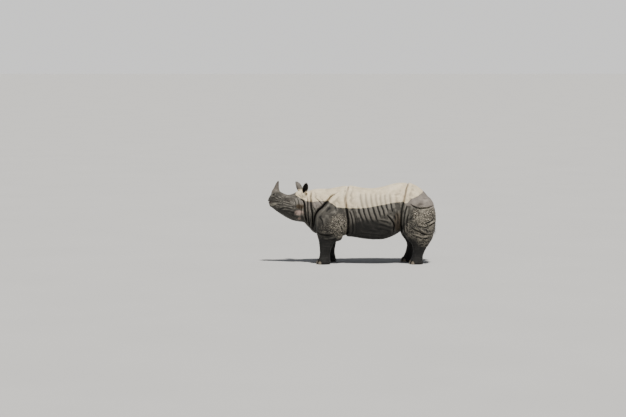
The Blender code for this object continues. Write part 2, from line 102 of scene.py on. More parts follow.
EYES = {side: middle("eye_" + name) for side, name in SIDES.items()}
EYE_RADIUS = size_of("eye_left").z / 2
HORN_ROOT = Vector((middle("horn").x, 0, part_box("head")[1].z))


# ---------------------------------------------------------------------------------------------------------
# Small tools


def deselect():
    bpy.ops.object.select_all(action="DESELECT")


def activate(piece):
    deselect()
    piece.select_set(True)
    bpy.context.view_layer.objects.active = piece


def new_object(name, data):
    made = bpy.data.objects.new(name, data)
    bpy.context.scene.collection.objects.link(made)
    return made


def piece_from(work, name):
    """A new object from a bmesh, which is freed."""
    mesh = bpy.data.meshes.new(name)
    work.to_mesh(mesh)
    work.free()
    return new_object(name, mesh)


def apply_modifiers(piece):
    activate(piece)
    for modifier in list(piece.modifiers):
        bpy.ops.object.modifier_apply(modifier=modifier.name)


def read_rows(items, name, width, kind=np.float32):
    """One property of all the points, edges or triangles of a mesh, a row for each."""
    flat = np.empty(len(items) * width, kind)
    items.foreach_get(name, flat)
    return flat.reshape(-1, width)


def places_of(mesh):
    return read_rows(mesh.vertices, "co", 3).astype(float)


def normals_of(mesh):
    return read_rows(mesh.vertices, "normal", 3).astype(float)


def edges_of(mesh):
    return read_rows(mesh.edges, "vertices", 2, np.int32)


def set_places(mesh, places):
    mesh.vertices.foreach_set("co", places.astype(np.float32).ravel())
    mesh.update()


def write_mark(mesh, name, values):
    """Gives each point a number that the finishes can read by this name."""
    layer = mesh.attributes.new(name, "FLOAT", "POINT")
    layer.data.foreach_set("value", np.asarray(values, np.float32))


def as_array(vector):
    return np.array(vector[:])


def as_arrays(vectors):
    return [np.array(vector[:]) for vector in vectors]


def ease(value, low=0.0, high=1.0):
    """0 below low, 1 above high, and smooth between them."""
    share = np.clip((value - low) / (high - low), 0.0, 1.0)
    return share * share * (3 - 2 * share)


def bell(distance, width):
    return np.exp(-((distance / width) ** 2))


def waves(places, scale, seed, octaves=2):
    """Smooth noise from -1 to 1; scale is the size of its lumps in metres."""
    dice = np.random.default_rng(seed)
    total = np.zeros(len(places))
    for octave in range(octaves):
        table = dice.uniform(-1, 1, 8192)
        turn = np.linalg.qr(dice.normal(size=(3, 3)))[0]
        grid = places @ turn / (scale * 0.5**octave) + dice.uniform(0, 50, 3)
        cell = np.floor(grid).astype(np.int64)
        share = grid - cell
        share = share * share * (3 - 2 * share)
        value = np.zeros(len(places))
        for corner in np.ndindex(2, 2, 2):
            at = cell + corner
            key = (at[:, 0] * 73856093) ^ (at[:, 1] * 19349663) ^ (at[:, 2] * 83492791)
            weight = np.prod(np.where(corner, share, 1 - share), axis=1)
            value += weight * table[key & 8191]
        total += 0.5**octave * value
    return total / (2 - 0.5 ** (octaves - 1))


def relax(places, edges, weight, times):
    """Moves each point towards the middle of its neighbours, by its own weight."""
    first, second = edges.T
    count = len(places)
    degree = np.bincount(first, minlength=count) + np.bincount(second, minlength=count)
    degree = np.maximum(degree, 1)[:, None]
    for _ in range(times):
        total = np.empty_like(places)
        for k in range(places.shape[1]):
            total[:, k] = np.bincount(first, places[second, k], count)
            total[:, k] += np.bincount(second, places[first, k], count)
        places += weight[:, None] * (total / degree - places)
    return places


def catmull(rows, steps):
    """Smooth rows through the given ones, with this many steps between two of them."""
    rows = np.array(rows, float)
    padded = np.vstack([2 * rows[0] - rows[1], rows, 2 * rows[-1] - rows[-2]])
    made = []
    for a, b, c, d in zip(padded, padded[1:], padded[2:], padded[3:]):
        for t in np.arange(steps) / steps:
            square = (2 * a - 5 * b + 4 * c - d) * t**2
            cube = (3 * b - a - 3 * c + d) * t**3
            made.append(0.5 * (2 * b + (c - a) * t + square + cube))
    made.append(rows[-1])
    return np.array(made)


# ---------------------------------------------------------------------------------------------------------
# The skin


def fused_flesh():
    """The solids of the flesh as one mesh, with the sockets of the horn, eyes, nails and ears filled."""
    work = bmesh.new()
    for node in (*FLESH, *NAILS, "eye_left", "eye_right"):
        work.from_mesh(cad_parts[node].data)
    bmesh.ops.remove_doubles(work, verts=work.verts, dist=1e-5)
    fillings = [(HORN_ROOT, HORN_FILLING)] + [(ear.root, EAR_FILLING) for ear in EARS]
    for root, (depth, radii) in fillings:
        place = Matrix.Translation(root - Vector((0, 0, depth))) @ Matrix.Diagonal((*radii, 1))
        bmesh.ops.create_icosphere(work, subdivisions=3, radius=1.0, matrix=place)
    skin = piece_from(work, "skin")
    remesh = skin.modifiers.new("one_skin", "REMESH")
    remesh.mode = "VOXEL"
    remesh.voxel_size = VOXEL
    apply_modifiers(skin)
    return skin


def smooth_skin(skin):
    """Most on the trunk, and least on the muzzle, tail and feet."""
    places = places_of(skin.data)
    x, y, z = places.T
    weight = 0.5 - 0.3 * ease(-x, 0.92, 1.05)
    tail = ease(x, 1.58, 1.64) * (1 - ease(np.abs(y), 0.06, 0.09)) * (1 - ease(z, 1.2, 1.35))
    weight *= 1 - 0.75 * tail
    weight *= 0.35 + 0.65 * ease(z, 0.04, 0.16)
    set_places(skin.data, relax(places, edges_of(skin.data), weight, 32))


def refine(skin, chosen):
    """Splits the faces whose middles are chosen into four."""
    work = bmesh.new()
    work.from_mesh(skin.data)
    middles = np.array([face.calc_center_median()[:] for face in work.faces])
    work.faces.ensure_lookup_table()
    edges = {edge for k in np.flatnonzero(chosen(middles)) for edge in work.faces[k].edges}
    bmesh.ops.subdivide_edges(work, edges=list(edges), cuts=1, use_grid_fill=True)
    work.to_mesh(skin.data)
    work.free()


def beside(flat, points, reach):
    """For the places near a line in the side view: which they are, how far to the left of it they lie, the
    way from it to them, and how far they are from its nearer end."""
    line = catmull(points, 8)
    low, high = line.min(axis=0) - reach, line.max(axis=0) + reach
    chosen = np.flatnonzero(((flat > low) & (flat < high)).all(axis=1))
    spots = flat[chosen]
    run = np.diff(line, axis=0)
    length = np.linalg.norm(run, axis=1)
    before = np.concatenate([[0.0], np.cumsum(length)[:-1]])
    nearest = np.full(len(spots), np.inf)
    left = np.zeros(len(spots))
    along = np.zeros(len(spots))
    way = np.zeros((len(spots), 2))
    for start, step, size, done in zip(line, run, length, before):
        away = spots - start
        share = np.clip(away @ step / size**2, 0.0, 1.0)
        off = away - share[:, None] * step
        gap = np.linalg.norm(off, axis=1) + 1e-9
        closer = gap < nearest
        nearest[closer] = gap[closer]
        turned = step[0] * off[:, 1] - step[1] * off[:, 0]
        left[closer] = np.where(turned > 0, gap, -gap)[closer]
        along[closer] = (done + share * size)[closer]
        way[closer] = (off / gap[:, None])[closer]
    return chosen, left, way, along, length.sum() - along


def wander_of(places):
    """How far lines drawn in the side view stray at each place."""
    return 0.008 * np.array([waves(places, 0.13, seed) for seed in (11, 12)]).T


def off_middle(y, inner):
    """0 along the middle of the body, for a fold that stops short of it by this much, and 1 beside it."""
    return ease(np.abs(y), inner, inner + 0.04) if inner else 1


class Clay:
    """The skin while it is shaped: its points, the way each faces, and how far each has yet to move."""

    def __init__(self, skin):
        self.mesh = skin.data
        self.wander = wander_of(places_of(self.mesh))
        self.read()

    def read(self):
        self.places = places_of(self.mesh)
        self.normals = normals_of(self.mesh)
        self.move = np.zeros_like(self.places)
        self.flat = self.places[:, [0, 2]] + self.wander

    def settle(self):
        set_places(self.mesh, self.places + self.move)
        self.read()

    def push(self, chosen, shift):
        self.move[chosen] += self.normals[chosen] * shift[:, None]

    def crease(self, fold):
        """A groove along a line of both sides. The edge on its left is swollen by its lip and laps over."""
        width = fold.width
        chosen, left, way, done, todo = beside(self.flat, fold.points, 8 * width)
        fade = ease(todo, 0, fold.ends) * ease(done, 0, fold.ends)
        fade = fade * off_middle(self.places[chosen, 1], fold.inner)
        gap = np.abs(left)
        groove = -fold.depth * (0.65 * bell(left, width) + 0.35 * np.maximum(0, 1 - gap / (0.8 * width)))
        swell = fold.lip * bell(left - 2.4 * width, 1.9 * width)
        self.push(chosen, fade * (groove + swell))
        if fold.lap:
            amount = fold.lap * fade * ease(left, 0, 0.8 * width) * (1 - ease(left, 1.2 * width, 5 * width))
            slide = np.zeros((len(chosen), 3))
            slide[:, [0, 2]] = -way * (amount * np.sign(left))[:, None]
            normals = self.normals[chosen]
            slide -= normals * (slide * normals).sum(axis=1)[:, None]
            self.move[chosen] += slide

    def swell(self, centre, radii, height, turn=0.0):
        """A smooth lump, or a hollow if height is below 0, at the same place on both sides. Its radii are
        along X, Y and Z, turned in the side view by this many degrees."""
        away = self.places - np.array(centre)
        away[:, 1] = np.abs(self.places[:, 1]) - abs(centre[1])
        angle = math.radians(turn)
        along = away[:, 0] * math.cos(angle) + away[:, 2] * math.sin(angle)
        up = -away[:, 0] * math.sin(angle) + away[:, 2] * math.cos(angle)
        far = (along / radii[0]) ** 2 + (away[:, 1] / radii[1]) ** 2 + (up / radii[2]) ** 2
        chosen = np.flatnonzero(far < 5)
        self.push(chosen, height * np.exp(-far[chosen]))


# A fold of the hide, as points (x, z) of its groove in the side view, with its measures in metres. The lip
# is on the left of the way that it runs. It stops short of the body's middle by inner, and fades over ends.
Fold = namedtuple("Fold", "points depth width lip lap inner ends", defaults=(0.0, 0.0, 0.0, 0.1))

# The great folds between the plates.
FOLDS = (
    # Behind the cheek.
    Fold([(-1.05, 1.32), (-0.99, 1.28), (-0.963, 1.2), (-0.96, 1.07), (-0.94, 0.94), (-0.9, 0.8)],
         0.05, 0.018, 0.010, 0.005),
    # Round the neck.
    Fold([(-0.893, 1.39), (-0.895, 1.3), (-0.897, 1.1), (-0.885, 0.95), (-0.85, 0.72)],
         0.038, 0.015, 0.010, 0.004),
    Fold([(-0.84, 1.5), (-0.84, 1.33), (-0.83, 1.17), (-0.808, 1.04), (-0.79, 0.88), (-0.78, 0.68)],
         0.05, 0.019, 0.010, 0.004),
    # In front of the shoulder.
    Fold([(-0.24, 1.49), (-0.31, 1.455), (-0.4, 1.39), (-0.505, 1.27), (-0.605, 1.168), (-0.68, 1.1),
          (-0.74, 1.0), (-0.757, 0.88), (-0.745, 0.76), (-0.71, 0.64)],
         0.052, 0.021, 0.016, 0.008, ends=0.24),
    # Round the elbow.
    Fold([(-0.72, 0.69), (-0.645, 0.63), (-0.52, 0.605), (-0.4, 0.62), (-0.34, 0.68)],
         0.028, 0.013, 0.012, 0.008),
    # Behind the shoulder.
    Fold([(-0.05, 1.64), (-0.105, 1.46), (-0.138, 1.31), (-0.125, 1.2), (-0.1, 1.07), (-0.085, 0.96),
          (-0.075, 0.85), (-0.075, 0.75), (-0.09, 0.64), (-0.14, 0.52)],
         0.045, 0.020, 0.010, 0.004),
    # In front of the hip.
    Fold([(1.18, 1.7), (1.107, 1.5), (1.066, 1.33), (1.025, 1.13), (1.004, 0.92), (1.012, 0.76),
          (1.045, 0.6)],
         0.040, 0.015, 0.014, 0.009),
    # Below the rump, across the thigh and in the flank.
    Fold([(1.17, 1.25), (1.25, 1.195), (1.363, 1.158), (1.507, 1.158), (1.7, 1.21)],
         0.024, 0.011, 0.011, 0.008, 0.05),
    Fold([(1.2, 0.75), (1.34, 0.687), (1.476, 0.625), (1.62, 0.61)], 0.022, 0.012, 0.010, 0.006, 0.08),
    Fold([(0.7, 1.04), (0.8, 0.92), (0.86, 0.81), (0.84, 0.62)], 0.030, 0.015, 0.010, 0.006),
)


def between_ribs(k):
    """The wrinkle behind rib k of the flank, which leans to the rear below."""
    x = 0.088 + 0.0985 * k + 0.006 * math.sin(5 * k)
    top = [(x - 0.004, 1.49), (x, 1.343)] if k else [(x - 0.004, 1.24)]
    low = [(x + 0.11, 0.943), (x + 0.165, 0.84)][:(2, 2, 2, 2, 1, 1, 0, 0)[k]]
    return [*top, (x + 0.025, 1.2), (x + 0.048, 1.127), (x + 0.072, 1.046), *low]


RIB_COUNT = 8


def wrinkles(width, ends, rows, inner=0.0):
    """Lesser folds of one kind, from rows of points and depth."""
    return [Fold(points, depth, width, 0.6 * depth, 0, inner, ends) for points, depth in rows]


WRINKLES = [
    # The thick rolls of the neck, and the small loops where they end.
    *[Fold(points, depth, width, 0.5 * depth, 0.4 * depth, ends=0.06) for points, depth, width in (
        ([(-0.932, 1.3), (-0.93, 1.2), (-0.93, 1.1), (-0.915, 1.0), (-0.9, 0.86)], 0.006, 0.007),
        ([(-0.866, 1.4), (-0.866, 1.3), (-0.863, 1.15), (-0.845, 1.0), (-0.825, 0.8)], 0.006, 0.007),
        ([(-0.955, 1.09), (-0.93, 1.08), (-0.915, 1.045), (-0.92, 0.98)], 0.010, 0.008),
        ([(-0.8, 1.06), (-0.76, 1.055), (-0.735, 1.01), (-0.738, 0.95)], 0.013, 0.008),
        ([(-0.8, 1.24), (-0.77, 1.17), (-0.745, 1.1), (-0.74, 1.04)], 0.012, 0.009),
        ([(-0.74, 1.37), (-0.672, 1.3), (-0.625, 1.25), (-0.6, 1.19)], 0.02, 0.011),
        ([(-0.86, 0.9), (-0.84, 0.8), (-0.8, 0.72), (-0.72, 0.66)], 0.014, 0.011),
        ([(-0.93, 0.9), (-0.91, 0.82), (-0.87, 0.74), (-0.8, 0.68)], 0.012, 0.010),
    )],
    # The ridge along the rear edge of the shoulder.
    Fold([(-0.05, 1.12), (-0.02, 1.03), (0.0, 0.95), (0.012, 0.88), (0.024, 0.8), (0.022, 0.7), (0.0, 0.6)],
         0.022, 0.012, 0.011, ends=0.08),
    # The second ridge behind the fold of the hip, and the edge of the thigh.
    Fold([(1.125, 1.22), (1.085, 1.08), (1.062, 0.92), (1.066, 0.76), (1.09, 0.62)], 0.016, 0.011, 0.008),
    Fold([(1.16, 1.08), (1.125, 0.95), (1.12, 0.8), (1.14, 0.66)], 0.008, 0.012, 0.004),
    # Between the ribs, and behind the shoulder.
    *[Fold(between_ribs(k), 0.0175 - 0.0009 * k, 0.024, 0.009, ends=0.16) for k in range(RIB_COUNT)],
    *[Fold([(x, 1.08), (x + 0.012, 0.98), (x + 0.05, 0.84), (x + 0.1, 0.72)], 0.004, 0.013, 0.002,
           ends=0.18) for x in (0.045, 0.085, 0.125)],
    # The slack skin of the flank.
    *wrinkles(0.017, 0.12, (
        ([(0.5, 0.91), (0.61, 0.905), (0.72, 0.87), (0.79, 0.81)], 0.006),
        ([(0.47, 0.83), (0.6, 0.82), (0.73, 0.78), (0.82, 0.72)], 0.007),
        ([(0.45, 0.75), (0.6, 0.735), (0.74, 0.695), (0.82, 0.645)], 0.006),
        ([(0.6, 0.98), (0.68, 0.965), (0.745, 0.93)], 0.004),
        ([(0.9, 1.1), (0.93, 1.0), (0.935, 0.88), (0.92, 0.76)], 0.010),
        ([(0.84, 1.05), (0.875, 0.96), (0.885, 0.86)], 0.007),
        ([(0.3, 0.72), (0.42, 0.7), (0.55, 0.66)], 0.006),
        ([(0.12, 0.66), (0.3, 0.625), (0.5, 0.6), (0.7, 0.6)], 0.008),
    )),
    # The plate of the shoulder and the elbow.
    *wrinkles(0.015, 0.11, (
        ([(-0.3, 0.9), (-0.24, 0.82), (-0.2, 0.72), (-0.2, 0.62)], 0.010),
        ([(-0.42, 0.66), (-0.32, 0.7), (-0.24, 0.78)], 0.008),
        ([(-0.66, 1.0), (-0.6, 0.9), (-0.58, 0.78)], 0.006),
        ([(-0.36, 1.3), (-0.33, 1.18), (-0.31, 1.08)], 0.006),
        ([(-0.5, 0.53), (-0.4, 0.51), (-0.28, 0.55)], 0.012),
        ([(-0.62, 0.52), (-0.52, 0.49), (-0.42, 0.48)], 0.010),
    )),
    # The thigh and the rump.
    *wrinkles(0.012, 0.09, (
        ([(1.53, 0.77), (1.6, 0.805), (1.66, 0.84), (1.74, 0.85)], 0.03),
        ([(1.3, 0.8), (1.4, 0.772), (1.5, 0.762), (1.58, 0.79)], 0.011),
        ([(1.34, 0.745), (1.4, 0.69), (1.48, 0.645), (1.54, 0.635)], 0.016),
        ([(1.2, 0.61), (1.33, 0.568), (1.46, 0.535), (1.6, 0.555)], 0.012),
        ([(1.24, 1.1), (1.29, 1.0), (1.31, 0.9)], 0.005),
        ([(1.13, 0.755), (1.2, 0.728), (1.27, 0.745)], 0.005),
        ([(1.13, 0.7), (1.2, 0.672), (1.27, 0.685)], 0.005),
    ), inner=0.05),
]

# Forms that swell the rump, shoulder and thigh where they would sink between their folds, each with its
# middle, radii, height and turn.
BODY_FORMS = (
    ((1.32, 0.42, 1.275), (0.13, 0.2, 0.06), 0.011, 8),
    ((1.5, 0.36, 1.27), (0.12, 0.2, 0.05), 0.006, 0),
    ((-0.56, 0.4, 0.93), (0.12, 0.2, 0.16), 0.010, 0),
    ((1.42, 0.42, 0.98), (0.14, 0.2, 0.14), 0.008, 0),
)


def near_folds(middles):
    """The great folds, the head and the ankles, where the skin is made finer."""
    flat = middles[:, [0, 2]]
    found = (middles[:, 0] < -0.93) | ((middles[:, 2] > 0.06) & (middles[:, 2] < 0.25))
    for fold in FOLDS:
        chosen, left, *_ = beside(flat, fold.points, 0.06)
        found[chosen[np.abs(left) < 0.045]] = True
    return found


def near_face(middles):
    """The eyes, nostrils and mouth, where it is made finer again."""
    found = (middles[:, 0] < -1.46) & (middles[:, 2] > 1.2)
    for centre in EYES.values():
        found |= np.linalg.norm(middles - as_array(centre), axis=1) < 0.07
    return found


# How high the rings of the legs are, and how deep.
ANKLE, ANKLE_DEPTH = 0.165, 0.009
KNEE, KNEE_DEPTH = 0.38, 0.012


def wrinkle_legs(clay):
    """Rings at the ankles and knees, slack skin, and the wide lower edge of the foot."""
    legs = np.flatnonzero((clay.places[:, 2] < 0.56) & (np.abs(clay.places[:, 1]) > 0.08))
    spots = clay.places[legs]
    z = spots[:, 2]
    height = z + 0.014 * waves(spots, 0.17, 31) + 0.003 * waves(spots, 0.05, 32)
    ankle = bell(z - ANKLE, 0.06)
    knee = bell(z - KNEE, 0.08)
    ring = (1 - np.abs(np.sin(math.pi * height / 0.033))) ** 1.8
    wide = (1 - np.abs(np.sin(math.pi * height / 0.058 + 0.6))) ** 2
    patchy = ease(waves(spots, 0.12, 33), -0.5, 0.4)
    shift = -(ANKLE_DEPTH * ankle * ring + KNEE_DEPTH * knee * wide) * (0.25 + 0.75 * patchy)
    shift += 0.004 * bell(z - 0.035, 0.03) + 0.0045 * waves(spots, 0.09, 34) * ease(z, 0.06, 0.2)
    clay.push(legs, shift)


def rough_hide(clay):
    """Lumps and slack all over, finer on the head, and none under the feet."""
    spots = clay.places
    calm = ease(spots[:, 2], 0.0, 0.05)
    body = ease(spots[:, 0], -1.1, -0.9)
    shift = body * (0.0035 * waves(spots, 0.3, 41) + 0.0014 * waves(spots, 0.085, 42))
    shift += (0.5 + 0.5 * body) * 0.0009 * waves(spots, 0.034, 43)
    clay.push(slice(None), calm * shift)


# ---------------------------------------------------------------------------------------------------------
# The head

# Half the length of the slit between the lids, and how far the lids bow above and below it.
SLIT = 0.0235
UPPER_LID = 0.0125
LOWER_LID = 0.0105

# How thick the lids are, and how wide their rounded edge.
LID_THICKNESS = 0.0042
LID_EDGE = 0.0022

# The wrinkles round an eye: how far out each ring is, and how deep.
EYE_RINGS = ((0.032, 0.0045), (0.041, 0.004), (0.054, 0.005), (0.07, 0.004), (0.09, 0.003))

# Creases of the head: points, depth, width and lip.
HEAD_CREASES = (
    # The mouth, deepest at the front.
    ([(-1.72, 1.258), (-1.68, 1.26), (-1.638, 1.259), (-1.585, 1.263), (-1.535, 1.27), (-1.485, 1.262)],
     0.021, 0.0065, 0.004),
    ([(-1.5, 1.285), (-1.475, 1.262), (-1.462, 1.235), (-1.47, 1.212)], 0.009, 0.007, 0.004),
    # Below the mouth, and along the jaw.
    ([(-1.6, 1.176), (-1.54, 1.198), (-1.48, 1.206), (-1.4, 1.2)], 0.009, 0.009, 0.006),
    ([(-1.5, 1.115), (-1.4, 1.13), (-1.31, 1.132), (-1.19, 1.11)], 0.0085, 0.014, 0.007),
    ([(-1.43, 1.085), (-1.32, 1.075), (-1.2, 1.05), (-1.1, 1.01)], 0.0055, 0.013, 0.004),
    ([(-1.34, 1.04), (-1.2, 0.99), (-1.08, 0.94)], 0.005, 0.013, 0.004),
    # From the nostril down to the cheek.
    ([(-1.545, 1.38), (-1.5, 1.347), (-1.455, 1.325), (-1.41, 1.3)], 0.010, 0.008, 0.006),
    ([(-1.62, 1.36), (-1.57, 1.335), (-1.52, 1.305), (-1.48, 1.28)], 0.007, 0.008, 0.004),
    ([(-1.47, 1.37), (-1.42, 1.35), (-1.37, 1.335)], 0.006, 0.007, 0.004),
    ([(-1.44, 1.27), (-1.38, 1.245), (-1.31, 1.225), (-1.24, 1.215)], 0.008, 0.009, 0.005),
    ([(-1.42, 1.215), (-1.34, 1.185), (-1.25, 1.172), (-1.17, 1.18)], 0.006, 0.009, 0.004),
    # The cheek, up to the ear.
    ([(-1.18, 1.33), (-1.15, 1.27), (-1.14, 1.2), (-1.15, 1.13)], 0.009, 0.009, 0.005),
    ([(-1.12, 1.36), (-1.09, 1.28), (-1.075, 1.2), (-1.08, 1.1)], 0.010, 0.010, 0.006),
    ([(-1.05, 1.22), (-1.03, 1.14), (-1.03, 1.05), (-1.04, 0.96)], 0.009, 0.010, 0.005),
    ([(-1.1, 1.42), (-1.06, 1.38), (-1.03, 1.34), (-1.0, 1.33)], 0.009, 0.009, 0.005),
    ([(-1.21, 1.4), (-1.15, 1.395), (-1.09, 1.39)], 0.006, 0.008, 0.004),
)

# Swollen and hollow forms of the head: middle, radii, height and turn.
HEAD_FORMS = (
    # The brow and the bone below the eye.
    ((-1.275, 0.12, 1.355), (0.06, 0.05, 0.022), 0.010, -8),
    ((-1.29, 0.14, 1.245), (0.075, 0.05, 0.02), 0.005, 12),
    # The pointed upper lip, the lower lip and the chin.
    ((-1.69, 0.0, 1.285), (0.03, 0.05, 0.028), 0.008, 0),
    ((-1.62, 0.07, 1.235), (0.05, 0.05, 0.016), 0.006, 0),
    ((-1.63, 0.09, 1.305), (0.05, 0.04, 0.022), 0.005, 0),
    ((-1.5, 0.06, 1.15), (0.05, 0.05, 0.02), 0.005, 10),
    # The mouth stands a little open in front.
    ((-1.69, 0.0, 1.258), (0.07, 0.16, 0.0085), -0.016, 0),
    # The jaw muscle and the hollow in front of the ear.
    ((-1.17, 0.19, 1.12), (0.08, 0.06, 0.08), 0.010, 0),
    ((-1.13, 0.14, 1.375), (0.05, 0.05, 0.03), -0.010, 0),
    # The swollen seat of the horn.
    ((-1.475, 0.05, 1.455), (0.05, 0.06, 0.02), 0.008, -12),
    ((-1.62, 0.05, 1.43), (0.022, 0.05, 0.022), 0.006, 0),
    # The rim of the nostril.
    ((-1.59, 0.098, 1.405), (0.044, 0.03, 0.032), 0.011, 24),
)
NOSTRIL_PIT = (
    ((-1.6, 0.1, 1.408), (0.027, 0.04, 0.0145), -0.036, 28),
    ((-1.581, 0.1, 1.395), (0.012, 0.04, 0.014), -0.018, 70),
)


def eye_frame(side):
    """The middle of an eye, the way it looks, the way to the front of the head, and the way up."""
    look = Vector((-0.22, side * 0.97, 0.10)).normalized()
    front = Vector((-0.93, -side * 0.20, -0.30))
    front = (front - look * front.dot(look)).normalized()
    up = look.cross(front) if look.cross(front).z > 0 else front.cross(look)
    return EYES[side], look, front, up


def shape_lids(clay, side):
    """Lids that lie on the eyeball, and the slit between them."""
    centre, look, front, up = as_arrays(eye_frame(side))
    away = clay.places - centre
    out = away @ look
    chosen = np.flatnonzero((np.linalg.norm(away, axis=1) < 0.14) & (out > -0.05))
    away, out = away[chosen], out[chosen]
    u, v = away @ front, away @ up
    # An almond, drawn out at its corners.
    across = u / SLIT
    open_by = (1 - across**2) * np.where(v > 0, UPPER_LID, LOWER_LID)
    beyond = np.abs(v) - np.maximum(open_by, 0)
    slit = np.hypot(np.maximum(np.abs(across) - 1, 0) * SLIT, np.maximum(beyond, 0))
    within = (np.abs(across) < 1) & (beyond < 0)
    round_off = np.hypot(u, v)
    ball = np.sqrt(np.maximum(EYE_RADIUS**2 - round_off**2, 0))
    lid = ball + LID_THICKNESS + 0.003 * bell(slit - 0.004, 0.004)
    cover = 1 - ease(round_off, 0.85 * EYE_RADIUS, 1.25 * EYE_RADIUS)
    wanted = out + cover * (np.maximum(lid, out - 0.002) - out)
    edge = (~within) & (slit < LID_EDGE)
    wanted = np.where(edge, ball + 0.0005 + slit / LID_EDGE * LID_THICKNESS, wanted)
    wanted = np.where(within, ball - 0.007, wanted)
    clay.move[chosen] += (wanted - out)[:, None] * look


def ring_eye(clay, side):
    """The wrinkles that ring an eye, broken and deepest below it."""
    centre, look, front, up = as_arrays(eye_frame(side))
    away = clay.places - centre
    chosen = np.flatnonzero((np.linalg.norm(away, axis=1) < 0.2) & (away @ look > -0.06))
    spots, away = clay.places[chosen], away[chosen]
    u = away @ front + 0.007 * waves(spots, 0.06, 61)
    v = away @ up + 0.007 * waves(spots, 0.06, 62)
    far = np.hypot(u / 1.35, v + 0.2 * np.abs(u))
    broken = ease(waves(spots, 0.045, 63), -0.45, 0.25)
    below = (0.3 + 0.7 * ease(-v, -0.02, 0.03)) * (0.35 + 0.65 * broken)
    shift = np.zeros(len(chosen))
    for size, depth in EYE_RINGS:
        strength = depth if size == EYE_RINGS[0][0] else depth * below
        shift -= strength * bell(far - size, 0.0034)
        shift += 0.45 * strength * bell(far - size - 0.007, 0.0045)
    clay.push(chosen, shift)


def shape_eyes(clay):
    for shape in (shape_lids, ring_eye):
        for side in SIDES:
            shape(clay, side)
        clay.settle()


def collar_horn(clay):
    """A rough collar round the root of the horn."""
    away = clay.places - as_array(HORN_ROOT)
    ring = np.hypot(away[:, 0] / 0.08, away[:, 1] / 0.064)
    chosen = np.flatnonzero((ring < 1.7) & (np.abs(away[:, 2]) < 0.08))
    ring = ring[chosen]
    shift = bell(ring - 1.14, 0.14) * 0.006 - 0.002 * bell(ring - 1.38, 0.08)
    shift += 0.005 * bell(ring - 1.15, 0.2) * waves(clay.places[chosen], 0.013, 71)
    clay.push(chosen, shift * bell(away[chosen, 2], 0.035))


def shape_head(clay):
    """Mouth, chin, cheeks, the heavy wrinkles of the muzzle, and nostrils like commas."""
    for points, depth, width, lip in HEAD_CREASES:
        clay.crease(Fold(points, depth, width, lip, 0.3 * lip, ends=0.03 if depth > 0.02 else 0.07))
    for form in HEAD_FORMS:
        clay.swell(*form)
    clay.settle()
    for form in NOSTRIL_PIT:
        clay.swell(*form)
    collar_horn(clay)


# ---------------------------------------------------------------------------------------------------------
# The ears


def crescent(radius, opening, wall, count=30):
    """A closed ring in the plane: a round wall with rounded edges and a gap of this many degrees."""
    half = math.radians(360 - opening) / 2
    ring = []
    for way, reach in ((1, radius), (-1, radius - wall)):
        steps = [(reach, math.pi / 2 + half * share) for share in np.linspace(-way, way, count)]
        steps.append((radius - wall / 2, math.pi / 2 + way * half + way * EAR_EDGE))
        ring += [(far * math.cos(turn), far * math.sin(turn)) for far, turn in steps]
    return ring


def ear_axes(ear):
    """The way that an ear points, the way that its mouth is turned, and the way across it."""
    axis = ear.axis.normalized()
    mouth = (ear.mouth - axis * ear.mouth.dot(axis)).normalized()
    return axis, mouth, mouth.cross(axis)


def ear_centre(ear, share):
    """The middle of the ring at this share of the length of an ear."""
    axis, mouth, _ = ear_axes(ear)
    return ear.root + axis * EAR_LENGTH * share + mouth * EAR_BEND * share**2


def ear_flare(share, radius, u):
    """How far the edges of an ear are turned forwards."""
    return EAR_FLARE * radius * max(share, 0) ** 3 * (u / radius) ** 2


def make_ear(ear):
    """A rolled leaf: a closed tube at its root, open in front, and flat at its rounded tip."""
    rows = catmull(EAR_ROWS, 7)
    _, mouth, across = ear_axes(ear)
    work = bmesh.new()
    rings = []
    for share, radius, opening, wall in rows:
        centre = ear_centre(ear, share)
        ring = []
        for u, v in crescent(radius, opening, wall):
            ring.append(work.verts.new(centre + across * u - mouth * (v - ear_flare(share, radius, u))))
        rings.append(ring)
    for low, high in zip(rings, rings[1:]):
        for k in range(len(low)):
            j = (k + 1) % len(low)
            work.faces.new((low[k], low[j], high[j], high[k]))
    work.faces.new(rings[0][::-1])
    work.faces.new(rings[-1])
    bmesh.ops.triangulate(work, faces=[face for face in work.faces if len(face.verts) > 4])
    bmesh.ops.recalc_face_normals(work, faces=work.faces)
    return piece_from(work, "ear")


def add_ears(skin):
    """Joins the ears to the skin, so that it stays one closed piece."""
    for ear in EARS:
        leaf = make_ear(ear)
        joint = skin.modifiers.new("ear", "BOOLEAN")
        joint.operation = "UNION"
        joint.solver = "MANIFOLD"
        joint.object = leaf
        apply_modifiers(skin)
        bpy.data.meshes.remove(leaf.data)


def blend_ears(skin):
    """Smooths the roots of the ears into the head."""
    places = places_of(skin.data)
    weight = np.zeros(len(places))
    for ear in EARS:
        away = places - as_array(ear.root)
        share = away @ as_array(ear_axes(ear)[0]) / EAR_LENGTH
        far = np.linalg.norm(away, axis=1)
        weight += 0.5 * (1 - ease(share, 0.2, 0.34)) * (1 - ease(far, 0.075, 0.1))
    set_places(skin.data, relax(places, edges_of(skin.data), weight, 14))


# ---------------------------------------------------------------------------------------------------------
# The feet, and the whole skin

# For each place on a foot: the way that the nail faces, in degrees, half its width and its height.
NAIL_SHAPES = {"inner": (-52, 0.043, 0.072), "middle": (0, 0.052, 0.085), "outer": (52, 0.043, 0.072)}

# How square the outline of a nail is.
NAIL_CORNER = 2.6


def nail_frame(node):
    """The foot of a nail, the way that it faces, the way across it, half its width and its height."""
    heading, half_width, height = NAIL_SHAPES[node.rsplit("_", 1)[1]]
    at = middle(node)
    turn = math.radians(heading if at.y > 0 else -heading)
    out = np.array([-math.cos(turn), math.sin(turn), 0.0])
    across = np.array([math.sin(turn), math.cos(turn), 0.0])
    return np.array([at.x, at.y, 0.0]) + 0.012 * out, out, across, half_width, height


